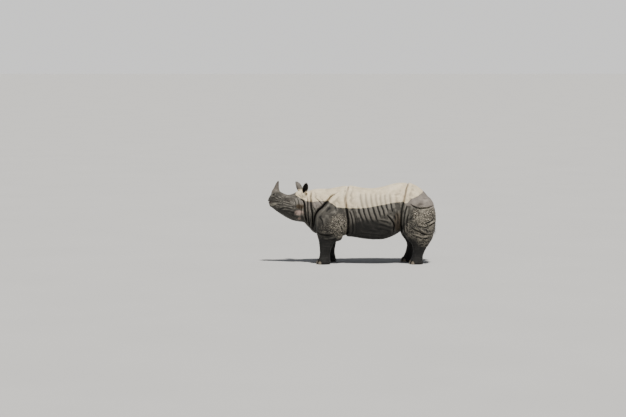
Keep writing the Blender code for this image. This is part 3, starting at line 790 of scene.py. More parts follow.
def nail_edge(across, up, half_width, height):
    """1 on the outline of a nail seen from in front, and less within it."""
    far = (np.abs(across) / half_width) ** NAIL_CORNER + (np.maximum(up, 0) / height) ** NAIL_CORNER
    return far ** (1 / NAIL_CORNER)


def nail_face(across, up, half_width, height):
    """How far out the front of a nail is: bowed, and leaning back to its top."""
    return 0.027 - 0.024 * (np.clip(up / height, 0, 1.3)) ** 1.4 - 0.26 * across**2 / half_width


def seat_nails(clay):
    """Presses the hide in behind the nails, and raises a cuticle round each."""
    for node in NAILS:
        foot, out, across, half_width, height = nail_frame(node)
        away = clay.places - foot
        chosen = np.flatnonzero((np.linalg.norm(away, axis=1) < 0.15) & (away @ out > -0.06))
        away = away[chosen]
        u, up = away @ across, away[:, 2]
        edge = nail_edge(u, up, half_width, height)
        ahead = ease(away @ out, -0.05, -0.02)
        gap = nail_face(u, up, half_width, height) - away @ out
        # Behind the nail, and round its edge.
        shift = (1 - ease(edge, 0.9, 1.03)) * np.minimum(gap - 0.009, 0)
        shift += bell(edge - 1.12, 0.13) * np.clip(gap - 0.002, 0, 0.014)
        clay.move[chosen] += (ahead * shift)[:, None] * out
        clay.push(chosen, 0.003 * bell(edge - 1.1, 0.07) * ahead)


def thin_out(skin):
    """Brings the skin to its number of triangles."""
    thinned = skin.modifiers.new("thinned", "DECIMATE")
    thinned.ratio = SKIN_TRIANGLES / sum(len(face.vertices) - 2 for face in skin.data.polygons)
    thinned.use_collapse_triangulate = True
    apply_modifiers(skin)


def make_skin():
    """The flesh as one skin, folded and carved from the broad forms to the small ones."""
    skin = fused_flesh()
    smooth_skin(skin)
    add_ears(skin)
    blend_ears(skin)
    refine(skin, near_folds)
    refine(skin, near_face)
    clay = Clay(skin)
    for fold in (*FOLDS, *WRINKLES):
        clay.crease(fold)
    for form in BODY_FORMS:
        clay.swell(*form)
    wrinkle_legs(clay)
    rough_hide(clay)
    clay.settle()
    calm = 0.35 * ease(clay.places[:, 0], -1.0, -0.9)
    set_places(skin.data, relax(clay.places, edges_of(skin.data), calm, 3))
    clay.read()
    shape_head(clay)
    seat_nails(clay)
    clay.settle()
    shape_eyes(clay)
    # The soles are flat on the floor.
    places = clay.places
    places[:, 2] = np.maximum(places[:, 2], 0.0)
    set_places(skin.data, places)
    thin_out(skin)
    return skin


# ---------------------------------------------------------------------------------------------------------
# Marks on the hide, which the skin, warts and hairs share

MOUTH = Fold([(-1.75, 1.258), (-1.638, 1.259), (-1.585, 1.263), (-1.535, 1.27), (-1.47, 1.262)], 0, 0.011,
             ends=0.04)
RIBS = [Fold(between_ribs(k), 0, 0.03, ends=0.12) for k in range(RIB_COUNT)]

# The upper edge of the wet hide from neck to rump, as (x, z). Pale dried mud lies above it.
WATERLINE = np.array([
    (-1.16, 1.40), (-1.08, 1.362), (-0.99, 1.315), (-0.93, 1.285), (-0.8, 1.275), (-0.62, 1.30),
    (-0.47, 1.292), (-0.338, 1.20), (-0.297, 1.17), (-0.185, 1.158), (0.0, 1.155), (0.174, 1.158),
    (0.379, 1.18), (0.584, 1.22), (0.789, 1.262), (1.035, 1.292), (1.085, 1.265), (1.13, 1.272),
    (1.199, 1.353), (1.343, 1.404), (1.445, 1.466), (1.56, 1.60),
])

# Oval zones of the side view: how strong, the middle (x, z), the radii, and a turn in degrees.
NECK_PLATE = ((-0.7, 1.24), (0.13, 0.1))
TEMPLE = (0.17, (-1.2, 1.3), (0.15, 0.09))
UPPER_CHEEK = (0.55, (-1.02, 1.25), (0.06, 0.05))
RUST = ((1.0, (-1.055, 1.175), (0.088, 0.055)), (0.6, (0.93, 0.88), (0.085, 0.2)))
LIP = ((-1.6, 1.21), (0.075, 0.03), 10)
BLUSH = (
    (0.95, (-1.07, 1.045), (0.1, 0.05)),
    (0.6, (-1.067, 0.925), (0.035, 0.025)),
    (0.4, (-1.69, 1.24), (0.035, 0.03)),
)
THIGH = ((1.5, 0.99), (0.3, 0.23))
WARTY = (
    (0.9, (-0.26, 0.8), (0.22, 0.26)),
    (0.68, (1.5, 0.64), (0.24, 0.3)),
    (0.45, (1.2, 0.72), (0.13, 0.2)),
    (0.4, (-0.55, 0.73), (0.13, 0.1)),
)
# Zones darkened as wet hide and painted shade: the lower flank and belly, and the muzzle.
WET_AND_SHADED_ZONES = ((0.9, (0.35, 0.68), (0.52, 0.27)), (0.25, (-1.6, 1.33), (0.12, 0.08)))
NOSTRIL = ((1.0, (-1.601, 1.408), (0.023, 0.0105), 28), (1.0, (-1.583, 1.397), (0.0105, 0.011)))


def zone(places, middle_at, radii, turn=0.0):
    """1 in the middle of an oval zone of the side view, fading to 0 outside it."""
    angle = math.radians(turn)
    x, z = places[:, 0] - middle_at[0], places[:, 2] - middle_at[1]
    along = x * math.cos(angle) + z * math.sin(angle)
    up = -x * math.sin(angle) + z * math.cos(angle)
    return 1 - ease(np.hypot(along / radii[0], up / radii[1]), 0.75, 1.15)


def strongest(places, *ovals):
    return np.maximum.reduce([share * zone(places, *oval) for share, *oval in ovals])


def near_lines(places, lines):
    """1 along the grooves of these folds, and 0 beside them."""
    flat = places[:, [0, 2]] + wander_of(places)
    nearest = np.zeros(len(places))
    for fold in lines:
        chosen, left, _, done, todo = beside(flat, fold.points, 0.07)
        groove = bell(left, 1.05 * fold.width) * off_middle(places[chosen, 1], fold.inner)
        groove = groove * ease(done, 0, 1.2 * fold.ends) * ease(todo, 0, 1.2 * fold.ends)
        nearest[chosen] = np.maximum(nearest[chosen], groove)
    return nearest


def above_water(places):
    """How far above the edge of the mud each place is, or below it if the number is negative."""
    x, _, z = places.T
    above = np.minimum(z - np.interp(x, *WATERLINE.T), (x + 1.14) * 1.4)
    over_ears = 1.495 + 0.03 * waves(places, 0.06, 81)
    return np.where(x < -0.85, np.minimum(above, over_ears - z), above)


def film_of(places, above):
    """Where a thin film of dried mud lies below the edge of the thick one."""
    x, _, z = places.T
    below = ease(-above, 0.0, 0.01)
    return np.maximum.reduce([
        # The plate of the rump, and that of the neck.
        0.93 * ease(x, 1.06, 1.12) * ease(z + 0.1 * (x - 1.36), 1.17, 1.2) * below,
        zone(places, *NECK_PLATE) * ease(x, -0.83, -0.8) * 0.9 * below,
        # The forehead.
        ease(z - 0.12 * x, 1.50, 1.56) * ease(-x, 0.98, 1.05) * (1 - ease(-x, 1.38, 1.45)) * 0.3,
        strongest(places, TEMPLE, UPPER_CHEEK),
        # The ridges of the neck, and the ears.
        0.45 * ease(x, -0.98, -0.95) * (1 - ease(x, -0.84, -0.8)) * ease(z, 0.95, 1.15),
        0.35 * ease(z, 1.49, 1.52) * (1 - ease(x, -0.86, -0.84)) * ease(x, -1.2, -1.15),
    ])


def marks(places):
    """How high each place is above the water, and how much of each tint, groove, grain, wet hide and
    painted shade it has.
    """
    x, y, z = places.T
    above = above_water(places)
    jaw = ease(-x, 1.05, 1.15) * (1 - ease(z + 0.1 * x, 0.95, 1.03))
    nostril = strongest(places, *NOSTRIL) * ease(np.abs(y), 0.05, 0.07)
    return {
        "above_water": np.clip(above, -0.5, 0.5),
        "film": film_of(places, above),
        "rust": strongest(places, *RUST),
        "lip": zone(places, *LIP),
        "blush": strongest(places, *BLUSH),
        "grain": np.maximum(strongest(places, *WARTY), zone(places, *THIGH) * ease(x, 1.12, 1.25)),
        # Wet hide and painted shade: darker towards the bottom of the body and under the jaw.
        "wet_and_shaded": np.maximum.reduce([1 - ease(z, 0.45, 0.75), 0.65 * (1 - ease(z, 0.7, 1.15)), 0.65 * jaw,
                                   strongest(places, *WET_AND_SHADED_ZONES)]),
        "pink": ease(-x, 1.615, 1.66) * bell(z - 1.256, 0.014) * ease(-np.abs(y), -0.14, -0.09),
        # Grooves of the folds, mouth and nostrils, where the finish paints shade.
        "groove": np.maximum(near_lines(places, (*FOLDS, MOUTH)), nostril),
        # Grooves between the ribs, where the finish paints shade on the mud.
        "ribs": near_lines(places, RIBS),
    }


def mark(piece, places, hollow, **more):
    """Writes the marks of these places on the points of a piece."""
    for name, values in {**marks(places), "hollow": hollow, **more}.items():
        write_mark(piece.data, name, values)


def hollowness(skin):
    """From -1 on ridges to 1 at the bottom of the folds, where the finish paints highlights and shade."""
    places, edges = places_of(skin.data), edges_of(skin.data)
    normals = normals_of(skin.data)
    depth = np.zeros((len(places), 1))
    calm = places.copy()
    half = np.full(len(places), 0.5)
    for times, reach, share in ((4, 0.0014, 0.6), (12, 0.003, 1.0), (24, 0.006, 0.6)):
        calm = relax(calm, edges, half, times)
        depth[:, 0] += share * np.clip(((calm - places) * normals).sum(axis=1) / reach, -1.3, 1.3)
    # Without the broad curve of the body.
    depth = (depth - relax(depth.copy(), edges, half, 60))[:, 0]
    return np.clip(depth / 2, -1, 1)


def inside_ears(skin):
    """1 on the hollow side of the ears, where the finish paints shade, and 0 elsewhere."""
    places, normals = places_of(skin.data), normals_of(skin.data)
    inside = np.zeros(len(places))
    shares, radii, _, walls = np.array(EAR_ROWS).T
    for ear in EARS:
        axis, mouth, _ = as_arrays(ear_axes(ear))
        away = places - as_array(ear.root)
        share = away @ axis / EAR_LENGTH
        away = away - np.outer(share * EAR_LENGTH, axis) - np.outer(EAR_BEND * share**2, mouth)
        reach = np.interp(share, shares, radii - 0.5 * walls) + 0.012 * np.clip(share, 0, 1) ** 2
        far = np.linalg.norm(away, axis=1)
        inner = (((away * normals).sum(axis=1) < 0) | (far < 0.7 * reach) & (share < 0.5)) & (far < reach)
        inner &= (share > 0.0) & (share < 1.1) & ((share < 0.6) | (normals @ mouth > 0.1))
        inside = np.maximum(inside, inner)
    return inside


# ---------------------------------------------------------------------------------------------------------
# Warts and hairs


def unwrap(places):
    """The hide rolled out flat: round the body from the belly, and along it from lip to tail."""
    x, y, z = places.T
    return np.stack([0.5 + np.arctan2(y, z - 1.0) / (2 * math.pi), (x + 1.85) / 3.7], axis=1)


def joined(name, shapes_at, corners, faces, roots, hollow):
    """Many like shapes as one piece, each with its small patch of the unwrapped hide."""
    count, size = shapes_at.shape[:2]
    mesh = bpy.data.meshes.new(name)
    all_faces = (np.arange(count)[:, None, None] * size + np.array(faces)[None]).reshape(-1, 3)
    mesh.from_pydata(shapes_at.reshape(-1, 3).tolist(), [], all_faces.tolist())
    piece = new_object(name, mesh)
    flat = unwrap(roots)[:, None, :] + 0.003 * (np.array(corners)[None] - 0.5)
    layer = mesh.uv_layers.new(name="OFBake")
    layer.data.foreach_set("uv", flat.reshape(-1, 2)[all_faces.ravel()].astype(np.float32).ravel())
    mark(piece, np.repeat(roots, size, axis=0), np.tile(hollow, count))
    mesh.shade_smooth()
    return piece


def stacked_faces(rings, sides):
    """The faces of a shape of stacked rings: its base, its bands, and a fan round its tip."""
    faces = [(0, k + 1, k) for k in range(1, sides - 1)]
    for ring in range(rings):
        for k in range(sides):
            a, b = ring * sides + k, ring * sides + (k + 1) % sides
            if ring == rings - 1:
                faces.append((a, b, rings * sides))
            else:
                faces += [(a, b, b + sides), (a, b + sides, a + sides)]
    return faces


def spread_out(places, gaps):
    """Which of the places to keep so that no two are nearer than their gap, taken in order."""
    taken = {}
    kept = []
    for k, (x, y, z) in enumerate((places // gaps.max()).astype(int).tolist()):
        near = [other for a, b, c in np.ndindex(3, 3, 3)
                for other in taken.get((x + a - 1, y + b - 1, z + c - 1), ())]
        if (((places[near] - places[k]) ** 2).sum(axis=1) >= gaps[k] * gaps[k]).all():
            taken.setdefault((x, y, z), []).append(k)
            kept.append(k)
    return np.array(kept)


def scatter(skin, amount, count, seed):
    """Random places on the skin with the way that it faces, more where amount is high."""
    mesh = skin.data
    mesh.calc_loop_triangles()
    tris = read_rows(mesh.loop_triangles, "vertices", 3, np.int32)
    corners = places_of(mesh)[tris]
    cross = np.cross(corners[:, 1] - corners[:, 0], corners[:, 2] - corners[:, 0])
    weight = np.linalg.norm(cross, axis=1) * amount[tris].mean(axis=1)
    dice = np.random.default_rng(seed)
    chosen = dice.choice(len(tris), count, p=weight / weight.sum())
    a, b = dice.uniform(size=(2, count))
    flip = a + b > 1
    a, b = np.where(flip, 1 - a, a), np.where(flip, 1 - b, b)
    spots = corners[chosen, 0] * (1 - a - b)[:, None] + corners[chosen, 1] * a[:, None]
    spots += corners[chosen, 2] * b[:, None]
    normals = normals_of(mesh)[tris[chosen]].mean(axis=1)
    return spots, normals / np.linalg.norm(normals, axis=1)[:, None], dice


def level_axes(normals):
    """Two directions on the skin for each way that it faces."""
    first = np.cross(normals, [0.13, 0.21, 1.0])
    first /= np.linalg.norm(first, axis=1)[:, None]
    return first, np.cross(normals, first)


# The rings of a wart: its radius and height as shares of its size, and how deep the finish takes it to lie,
# which paints shade at its base and a highlight on its top.
WART_RINGS = ((1.15, -0.5, 0.9), (0.9, 0.4, -0.4), (0.52, 0.84, -0.95))
WART_SIDES = 8
WART_HEIGHT = 0.36
WART_TRIES = 22000


def make_warts(skin, name, hollow, within, seed):
    """The low round studs of the plates, closer and larger in the middle of their zone."""
    places = places_of(skin.data)
    off_tail = (places[:, 0] < 1.5) | (np.abs(places[:, 1]) > 0.075)
    amount = marks(places)["grain"] * within(places) * (hollow < 0.35) * off_tail
    spots, normals, dice = scatter(skin, amount, WART_TRIES, seed)
    grain = marks(spots)["grain"]
    size = (0.008 + 0.0115 * grain) * (0.4 + 0.76 * dice.uniform(size=len(spots)) ** 1.2)
    kept = spread_out(spots, 1.25 * size + 0.0105 + 0.025 * (1 - ease(grain, 0.0, 0.35)))
    spots, normals, size = spots[kept], normals[kept], size[kept]
    long = dice.uniform(0.84, 1.19, len(spots))
    first, second = level_axes(normals)
    turns = [2 * math.pi * k / WART_SIDES for k in range(WART_SIDES)]
    rows = []
    for radius, height, _ in WART_RINGS:
        for turn in turns:
            reach = size * radius * dice.uniform(0.86, 1.14, len(spots))
            flat = first * (long * math.cos(turn))[:, None] + second * (math.sin(turn) / long)[:, None]
            rows.append(spots + flat * reach[:, None] + normals * (size * height * WART_HEIGHT)[:, None])
    rows.append(spots + normals * (size * WART_HEIGHT)[:, None])
    corners = [(0.5 + 0.45 * far * math.cos(turn), 0.5 + 0.45 * far * math.sin(turn))
               for far in (1, 0.7, 0.4) for turn in turns]
    sunk = np.repeat([row[2] for row in WART_RINGS], WART_SIDES).tolist()
    faces = stacked_faces(len(WART_RINGS), WART_SIDES)
    return joined(name, np.stack(rows, axis=1), [*corners, (0.5, 0.5)], faces, spots, [*sunk, -1.0])


HAIR_SIDES = 3
HAIR_RINGS = (-0.06, 0.35, 0.7)
HAIR_CORNERS = ((0.2, 0.1), (0.8, 0.1), (0.5, 0.2), (0.2, 0.4), (0.8, 0.4), (0.5, 0.5), (0.3, 0.7),
                (0.7, 0.7), (0.5, 0.8), (0.5, 0.95))


def make_hairs(name, roots, ways, sags, lengths, thickness):
    """Stiff curved hairs, each a thin closed cone."""
    roots, ways, sags = np.array(roots), np.array(ways), np.array(sags)
    lengths = np.array(lengths)
    first, second = level_axes(ways)
    rows = []
    for share in HAIR_RINGS:
        centre = roots + ways * (lengths * share)[:, None] + sags * (lengths * share**2)[:, None]
        for k in range(HAIR_SIDES):
            turn = 2 * math.pi * k / HAIR_SIDES
            across = first * math.cos(turn) + second * math.sin(turn)
            rows.append(centre + across * thickness * (1.1 - share))
    rows.append(roots + ways * lengths[:, None] + sags * lengths[:, None])
    faces = stacked_faces(len(HAIR_RINGS), HAIR_SIDES)
    return joined(name, np.stack(rows, axis=1), HAIR_CORNERS, faces, roots, np.zeros(len(HAIR_CORNERS)))


def ear_fringe():
    """Short hairs along the rims of both ears."""
    dice = np.random.default_rng(91)
    roots, ways, sags, lengths = [], [], [], []
    rims = [(*row, edge) for row in catmull(EAR_ROWS[2:], 22) for edge in (-1, 1) for _ in range(3)]
    for ear in EARS:
        axis, mouth, across = as_arrays(ear_axes(ear))
        for share, radius, opening, wall, edge in rims:
            here = share + dice.uniform(-0.006, 0.006)
            turn = math.pi / 2 + edge * math.radians(360 - opening) / 2
            u, v = ((radius - 0.45 * wall) * part(turn) for part in (math.cos, math.sin))
            centre = as_array(ear_centre(ear, here))
            roots.append(centre + across * u - mouth * (v - ear_flare(here, radius, u)))
            way = across * math.cos(turn) * 0.7 + mouth * 0.55 + axis * (0.5 + 0.9 * here**3)
            way = way + dice.normal(size=3) * 0.22
            ways.append(way / np.linalg.norm(way))
            sags.append(axis * 0.25 + dice.normal(size=3) * 0.15)
            lengths.append(dice.uniform(0.006, 0.011 + 0.011 * here))
    return make_hairs("ear_fringe", roots, ways, sags, lengths, 0.0007)


def tail_tuft(skin):
    """Stiff bristles along the front and back edges of the tail's end."""
    x, y, z = places_of(skin.data).T
    end = (x > 1.5) & (np.abs(y) < 0.06) & (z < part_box("tail")[0].z + 0.24)
    amount = end * (0.15 + np.abs(normals_of(skin.data)[:, 0]) ** 3)
    spots, normals, dice = scatter(skin, amount, 420, 92)
    ways = normals * 0.8 + np.array([0, 0, -0.95]) + dice.normal(size=(len(spots), 3)) * 0.12
    ways /= np.linalg.norm(ways, axis=1)[:, None]
    sags = np.array([[0, 0, -0.5]]) + dice.normal(size=(len(spots), 3)) * 0.1
    return make_hairs("tail_tuft", spots, ways, sags, dice.uniform(0.03, 0.075, len(spots)), 0.0012)


def eye_lashes():
    """A few short lashes on each upper lid."""
    dice = np.random.default_rng(93)
    roots, ways, sags = [], [], []
    for side in SIDES:
        centre, look, front, up = as_arrays(eye_frame(side))
        for u in np.linspace(-0.02, 0.02, 34):
            u += dice.uniform(-0.0006, 0.0006)
            v = (1 - (u / SLIT) ** 2) * UPPER_LID + 0.0018
            out = math.sqrt(EYE_RADIUS**2 - u * u - v * v) + 0.0035
            roots.append(centre + front * u + up * v + look * out)
            way = look * 0.9 - up * 0.15 + front * u * 14 + dice.normal(size=3) * 0.12
            ways.append(way / np.linalg.norm(way))
            sags.append(-up * 0.25 + dice.normal(size=3) * 0.06)
    return make_hairs("eye_lashes", roots, ways, sags, dice.uniform(0.009, 0.017, len(roots)), 0.0006)


# ---------------------------------------------------------------------------------------------------------
# Horn, eyes and nails


def primitive(add, name, **settings):
    """A new primitive, with nothing else selected."""
    deselect()
    add(**settings)
    made = bpy.context.active_object
    made.name = name
    return made


def edit_all(piece):
    """Opens a piece in edit mode with all its faces selected."""
    activate(piece)
    bpy.ops.object.mode_set(mode="EDIT")
    bpy.ops.mesh.select_mode(type="FACE")
    bpy.ops.mesh.select_all(action="SELECT")


def close_edit(piece):
    """Leaves edit mode, and puts the piece's place, turn and size into its mesh."""
    bpy.ops.object.mode_set(mode="OBJECT")
    activate(piece)
    bpy.ops.object.transform_apply(location=True, rotation=True, scale=True)


# Share of the length above the seat, and half the length and width there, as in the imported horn.
HORN_ROWS = (
    (-0.18, 0.086, 0.070),
    (0.0, 0.080, 0.064),
    (0.18, 0.064, 0.052),
    (0.42, 0.047, 0.040),
    (0.7, 0.031, 0.028),
    (0.9, 0.018, 0.017),
    (1.0, 0.006, 0.006),
)
HORN_X = -1.548
HORN_Z = 1.475
HORN_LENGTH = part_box("horn")[1].z - HORN_Z


def horn_middle(share):
    """The middle of the horn at this share of its length. It leans back to its tip."""
    return Vector((HORN_X + 0.02 * share + 0.03 * share * share, 0, HORN_Z + HORN_LENGTH * share))


def groove_horn(horn):
    """Grooves the horn lengthways, rings and frays its root, and wears its front."""
    places = places_of(horn.data)
    share = (places[:, 2] - HORN_Z) / HORN_LENGTH
    away = places - np.array([horn_middle(k)[:] for k in share])
    away[:, 2] = 0
    out = away / (np.linalg.norm(away, axis=1) + 1e-9)[:, None]
    turn = np.arctan2(away[:, 1], away[:, 0])
    ringed = np.stack([np.cos(turn), np.sin(turn), share * 0.5], axis=1)
    fibres = waves(ringed, 0.085, 81, 3)
    root = 1 - ease(share, 0.02, 0.3)
    rings = np.sin(share * 46 + 1.5 * waves(ringed, 0.5, 82))
    shift = (0.0012 + 0.0028 * root) * fibres + 0.0011 * root * rings
    shift -= 0.003 * ease(share, 0.05, 0.2) * (1 - ease(share, 0.3, 0.7)) * bell(out[:, 0] + 1, 0.25)
    places += out * shift[:, None]
    places[:, 2] -= 0.08 * away[:, 0]
    set_places(horn.data, places)
    write_mark(horn.data, "height_share", share)


def make_horn():
    """Drawn up ring by ring from an oval seat."""
    rows = catmull(HORN_ROWS, 4)
    share, length, width = rows[0]
    horn = primitive(bpy.ops.mesh.primitive_circle_add, "horn_sheath", vertices=88, radius=1,
                     fill_type="NGON", location=horn_middle(share))
    edit_all(horn)
    bpy.ops.transform.resize(value=(length, width, 1))
    for next_share, next_length, next_width in rows[1:]:
        centre = horn_middle(next_share)
        step = centre - horn_middle(share)
        bpy.ops.mesh.extrude_region_move(TRANSFORM_OT_translate={"value": step})
        growth = (next_length / length, next_width / width, 1)
        bpy.ops.transform.resize(value=growth, center_override=centre)
        share, length, width = next_share, next_length, next_width
    bpy.ops.mesh.select_all(action="SELECT")
    bpy.ops.mesh.normals_make_consistent(inside=False)
    close_edit(horn)
    divided = horn.modifiers.new("finer", "SUBSURF")
    divided.levels = divided.render_levels = 1
    apply_modifiers(horn)
    groove_horn(horn)
    horn.data.shade_smooth()
    return horn


# How far the clear front of an eye stands out.
EYE_SWELL = 0.0013


def make_eye(side):
    """An eyeball with a swollen clear front, its pole turned the way it looks."""
    centre, look, _, _ = eye_frame(side)
    eye = primitive(bpy.ops.mesh.primitive_uv_sphere_add, "eyeball_" + SIDES[side], segments=48,
                    ring_count=32, radius=EYE_RADIUS)
    eye.rotation_mode = "QUATERNION"
    eye.rotation_quaternion = look.to_track_quat("Z", "Y")
    eye.location = centre
    close_edit(eye)
    places = places_of(eye.data)
    away = places - as_array(centre)
    angle = np.arccos(np.clip(away @ as_array(look) / EYE_RADIUS, -1, 1))
    places += away / EYE_RADIUS * (EYE_SWELL * (1 - ease(angle, 0.25, 0.62)))[:, None]
    set_places(eye.data, places)
    write_mark(eye.data, "from_pupil", angle * EYE_RADIUS)
    eye.data.shade_smooth()
    return eye


def nail_block():
    """A finely divided block, from which each nail is shaped."""
    block = primitive(bpy.ops.mesh.primitive_cube_add, "nail_block", size=2, location=(0, 0, 0))
    edit_all(block)
    bpy.ops.mesh.subdivide(number_cuts=15)
    close_edit(block)
    return block


def make_nail(node, block):
    """A horny shield on the rim of the foot, arched at its top, with rings of growth."""
    foot, out, across, half_width, height = nail_frame(node)
    nail = new_object(node + "_horny", block.data.copy())
    u, v, up = places_of(nail.data).T
    share = 0.97 * (up + 1) / 2
    shield = u * half_width * (1 - share**NAIL_CORNER) ** (1 / NAIL_CORNER)
    up = height * share
    edge = nail_edge(shield, up, half_width, height)
    deep = nail_face(shield, up, half_width, height) - 0.012 * (1 - v) - 0.006 * ease(edge, 0.7, 1.0) ** 2
    wavy = np.stack([shield, up, deep], axis=1)
    lined = np.sin((up + 0.12 * shield**2 / half_width) * 420 + 2.5 * waves(wavy, 0.05, 83))
    deep += (0.0005 * lined + 0.0009 * waves(wavy * np.array([1, 0.2, 1]), 0.008, 84)) * (v > 0)
    made = foot + shield[:, None] * across + deep[:, None] * out
    made[:, 2] = up
    set_places(nail.data, made)
    nail.data.shade_smooth()
    return nail


# ---------------------------------------------------------------------------------------------------------
# Finishes


class Wire:
    """A number or colour on its way through a tree of nodes, on which sums can be written."""

    def __init__(self, tree, socket):
        self.tree = tree
        self.socket = socket

    def math(self, operation, *others):
        return self.tree.node("ShaderNodeMath", {"operation": operation}, dict(enumerate((self, *others))))

    def __add__(self, other):
        return self.math("ADD", other)

    def __sub__(self, other):
        return self.math("SUBTRACT", other)

    def __rsub__(self, other):
        return self.tree.node("ShaderNodeMath", {"operation": "SUBTRACT"}, {0: other, 1: self})

    def __mul__(self, other):
        return self.math("MULTIPLY", other)

    __radd__ = __add__
    __rmul__ = __mul__

    def most(self, other):
        return self.math("MAXIMUM", other)

    def step(self, low, high):
        """0 below low, 1 above high, and smooth between them."""
        settings = {"interpolation_type": "SMOOTHSTEP"}
        return self.tree.node("ShaderNodeMapRange", settings, {0: self, 1: low, 2: high, 3: 0.0, 4: 1.0})


class Tree:
    """The nodes of a finish or of the sky."""

    def __init__(self, tree):
        self.tree = tree

    def join(self, value, socket):
        if isinstance(value, Wire):
            self.tree.links.new(value.socket, socket)
        elif isinstance(value, tuple) and len(value) == 3 and socket.type == "RGBA":
            socket.default_value = (*value, 1)
        else:
            socket.default_value = value

    def node(self, kind, settings, values, out=0):
        made = self.tree.nodes.new(kind)
        for name, value in settings.items():
            setattr(made, name, value)
        for name, value in values.items():
            self.join(value, made.inputs[name])
        return Wire(self, made.outputs[out])

    def mix(self, share, first, second):
        settings = {"data_type": "RGBA", "clamp_factor": True}
        return self.node("ShaderNodeMix", settings, {0: share, 6: first, 7: second}, out=2)


class Finish(Tree):
    """A material made of nodes round one shader."""

    def __init__(self, name, roughness, **constants):
        self.material = bpy.data.materials.new(name)
        self.material.use_nodes = True
        super().__init__(self.material.node_tree)
        self.shader = self.tree.nodes["Principled BSDF"]
        self.set("Roughness", roughness)
        for name, value in constants.items():
            self.set(name.replace("_", " ").title().replace("Ior", "IOR"), value)

    def set(self, name, value):
        self.join(value, self.shader.inputs[name])

    def place(self, stretch=None):
        """Where a point is on the piece, in metres, stretched if need be."""
        here = self.node("ShaderNodeTexCoord", {}, {}, out=3)
        if stretch is None:
            return here
        return self.node("ShaderNodeVectorMath", {"operation": "MULTIPLY"}, {0: here, 1: stretch})

    def mark(self, name):
        return self.node("ShaderNodeAttribute", {"attribute_name": name}, {}, out=2)

    def noise(self, place, scale, detail=3.0, roughness=0.55, out=0):
        values = {"Vector": place, "Scale": scale, "Detail": detail, "Roughness": roughness}
        return self.node("ShaderNodeTexNoise", {}, values, out)

    def edges(self, place, scale, width):
        """1 along the edges of cells, and 0 within them."""
        settings = {"feature": "DISTANCE_TO_EDGE"}
        gap = self.node("ShaderNodeTexVoronoi", settings, {"Vector": place, "Scale": scale})
        return 1 - gap.step(0.0, width)

    def bump(self, height, distance, strength):
        values = {"Height": height, "Distance": distance, "Strength": strength}
        self.set("Normal", self.node("ShaderNodeBump", {}, values))


# Colours of the wet hide and of its warts, with painted highlights on ridges and wart tops, and painted
# shade low down, in folds, between warts and in the ears.
WET_HIDE = ((0.030, 0.028, 0.024), (0.084, 0.078, 0.065))
WORN_HIDE = (0.105, 0.098, 0.084)
RIDGE_HIGHLIGHT = (0.23, 0.214, 0.184)
SOAKED_AND_SHADED = (0.005, 0.005, 0.005)
FOLD_SHADE = (0.005, 0.0045, 0.004)
CRACKS = (0.010, 0.009, 0.008)
BROWN = (0.05, 0.032, 0.014)
ROSY = (0.41, 0.305, 0.262)
LIP_HIDE = (0.27, 0.25, 0.205)
MOUTH_PINK = (0.30, 0.125, 0.11)
EAR_HOLLOW_SHADE = (0.016, 0.013, 0.010)
SHADE_BETWEEN_WARTS = (0.043, 0.039, 0.033)
WART_TOP_HIGHLIGHTS = ((0.37, 0.333, 0.262), (0.56, 0.505, 0.408))
STAINED_WARTS = (0.17, 0.153, 0.122)

# Colours of the dried mud: its film, its body, and what darkens it, with painted highlights on its ridges
# and painted shade in its hollows, ribs and folds.
MUD_FILM = ((0.215, 0.188, 0.165), (0.28, 0.247, 0.218))
MUD = ((0.56, 0.46, 0.31), (0.86, 0.735, 0.525))
THICK_MUD = (0.82, 0.72, 0.56)
YELLOW_MUD = ((0.69, 0.57, 0.35), (0.63, 0.56, 0.425))
MOTTLED_MUD = (0.37, 0.325, 0.235)
MUD_RIDGE_HIGHLIGHT = (0.81, 0.72, 0.57)
CRACKED_MUD = (0.26, 0.21, 0.155)
FLAKED_MUD = (0.21, 0.185, 0.15)
MUD_HOLLOW_SHADE = (0.30, 0.255, 0.19)
MUD_RIB_SHADE = (0.33, 0.295, 0.23)
MUD_FOLD_SHADE = (0.17, 0.14, 0.10)


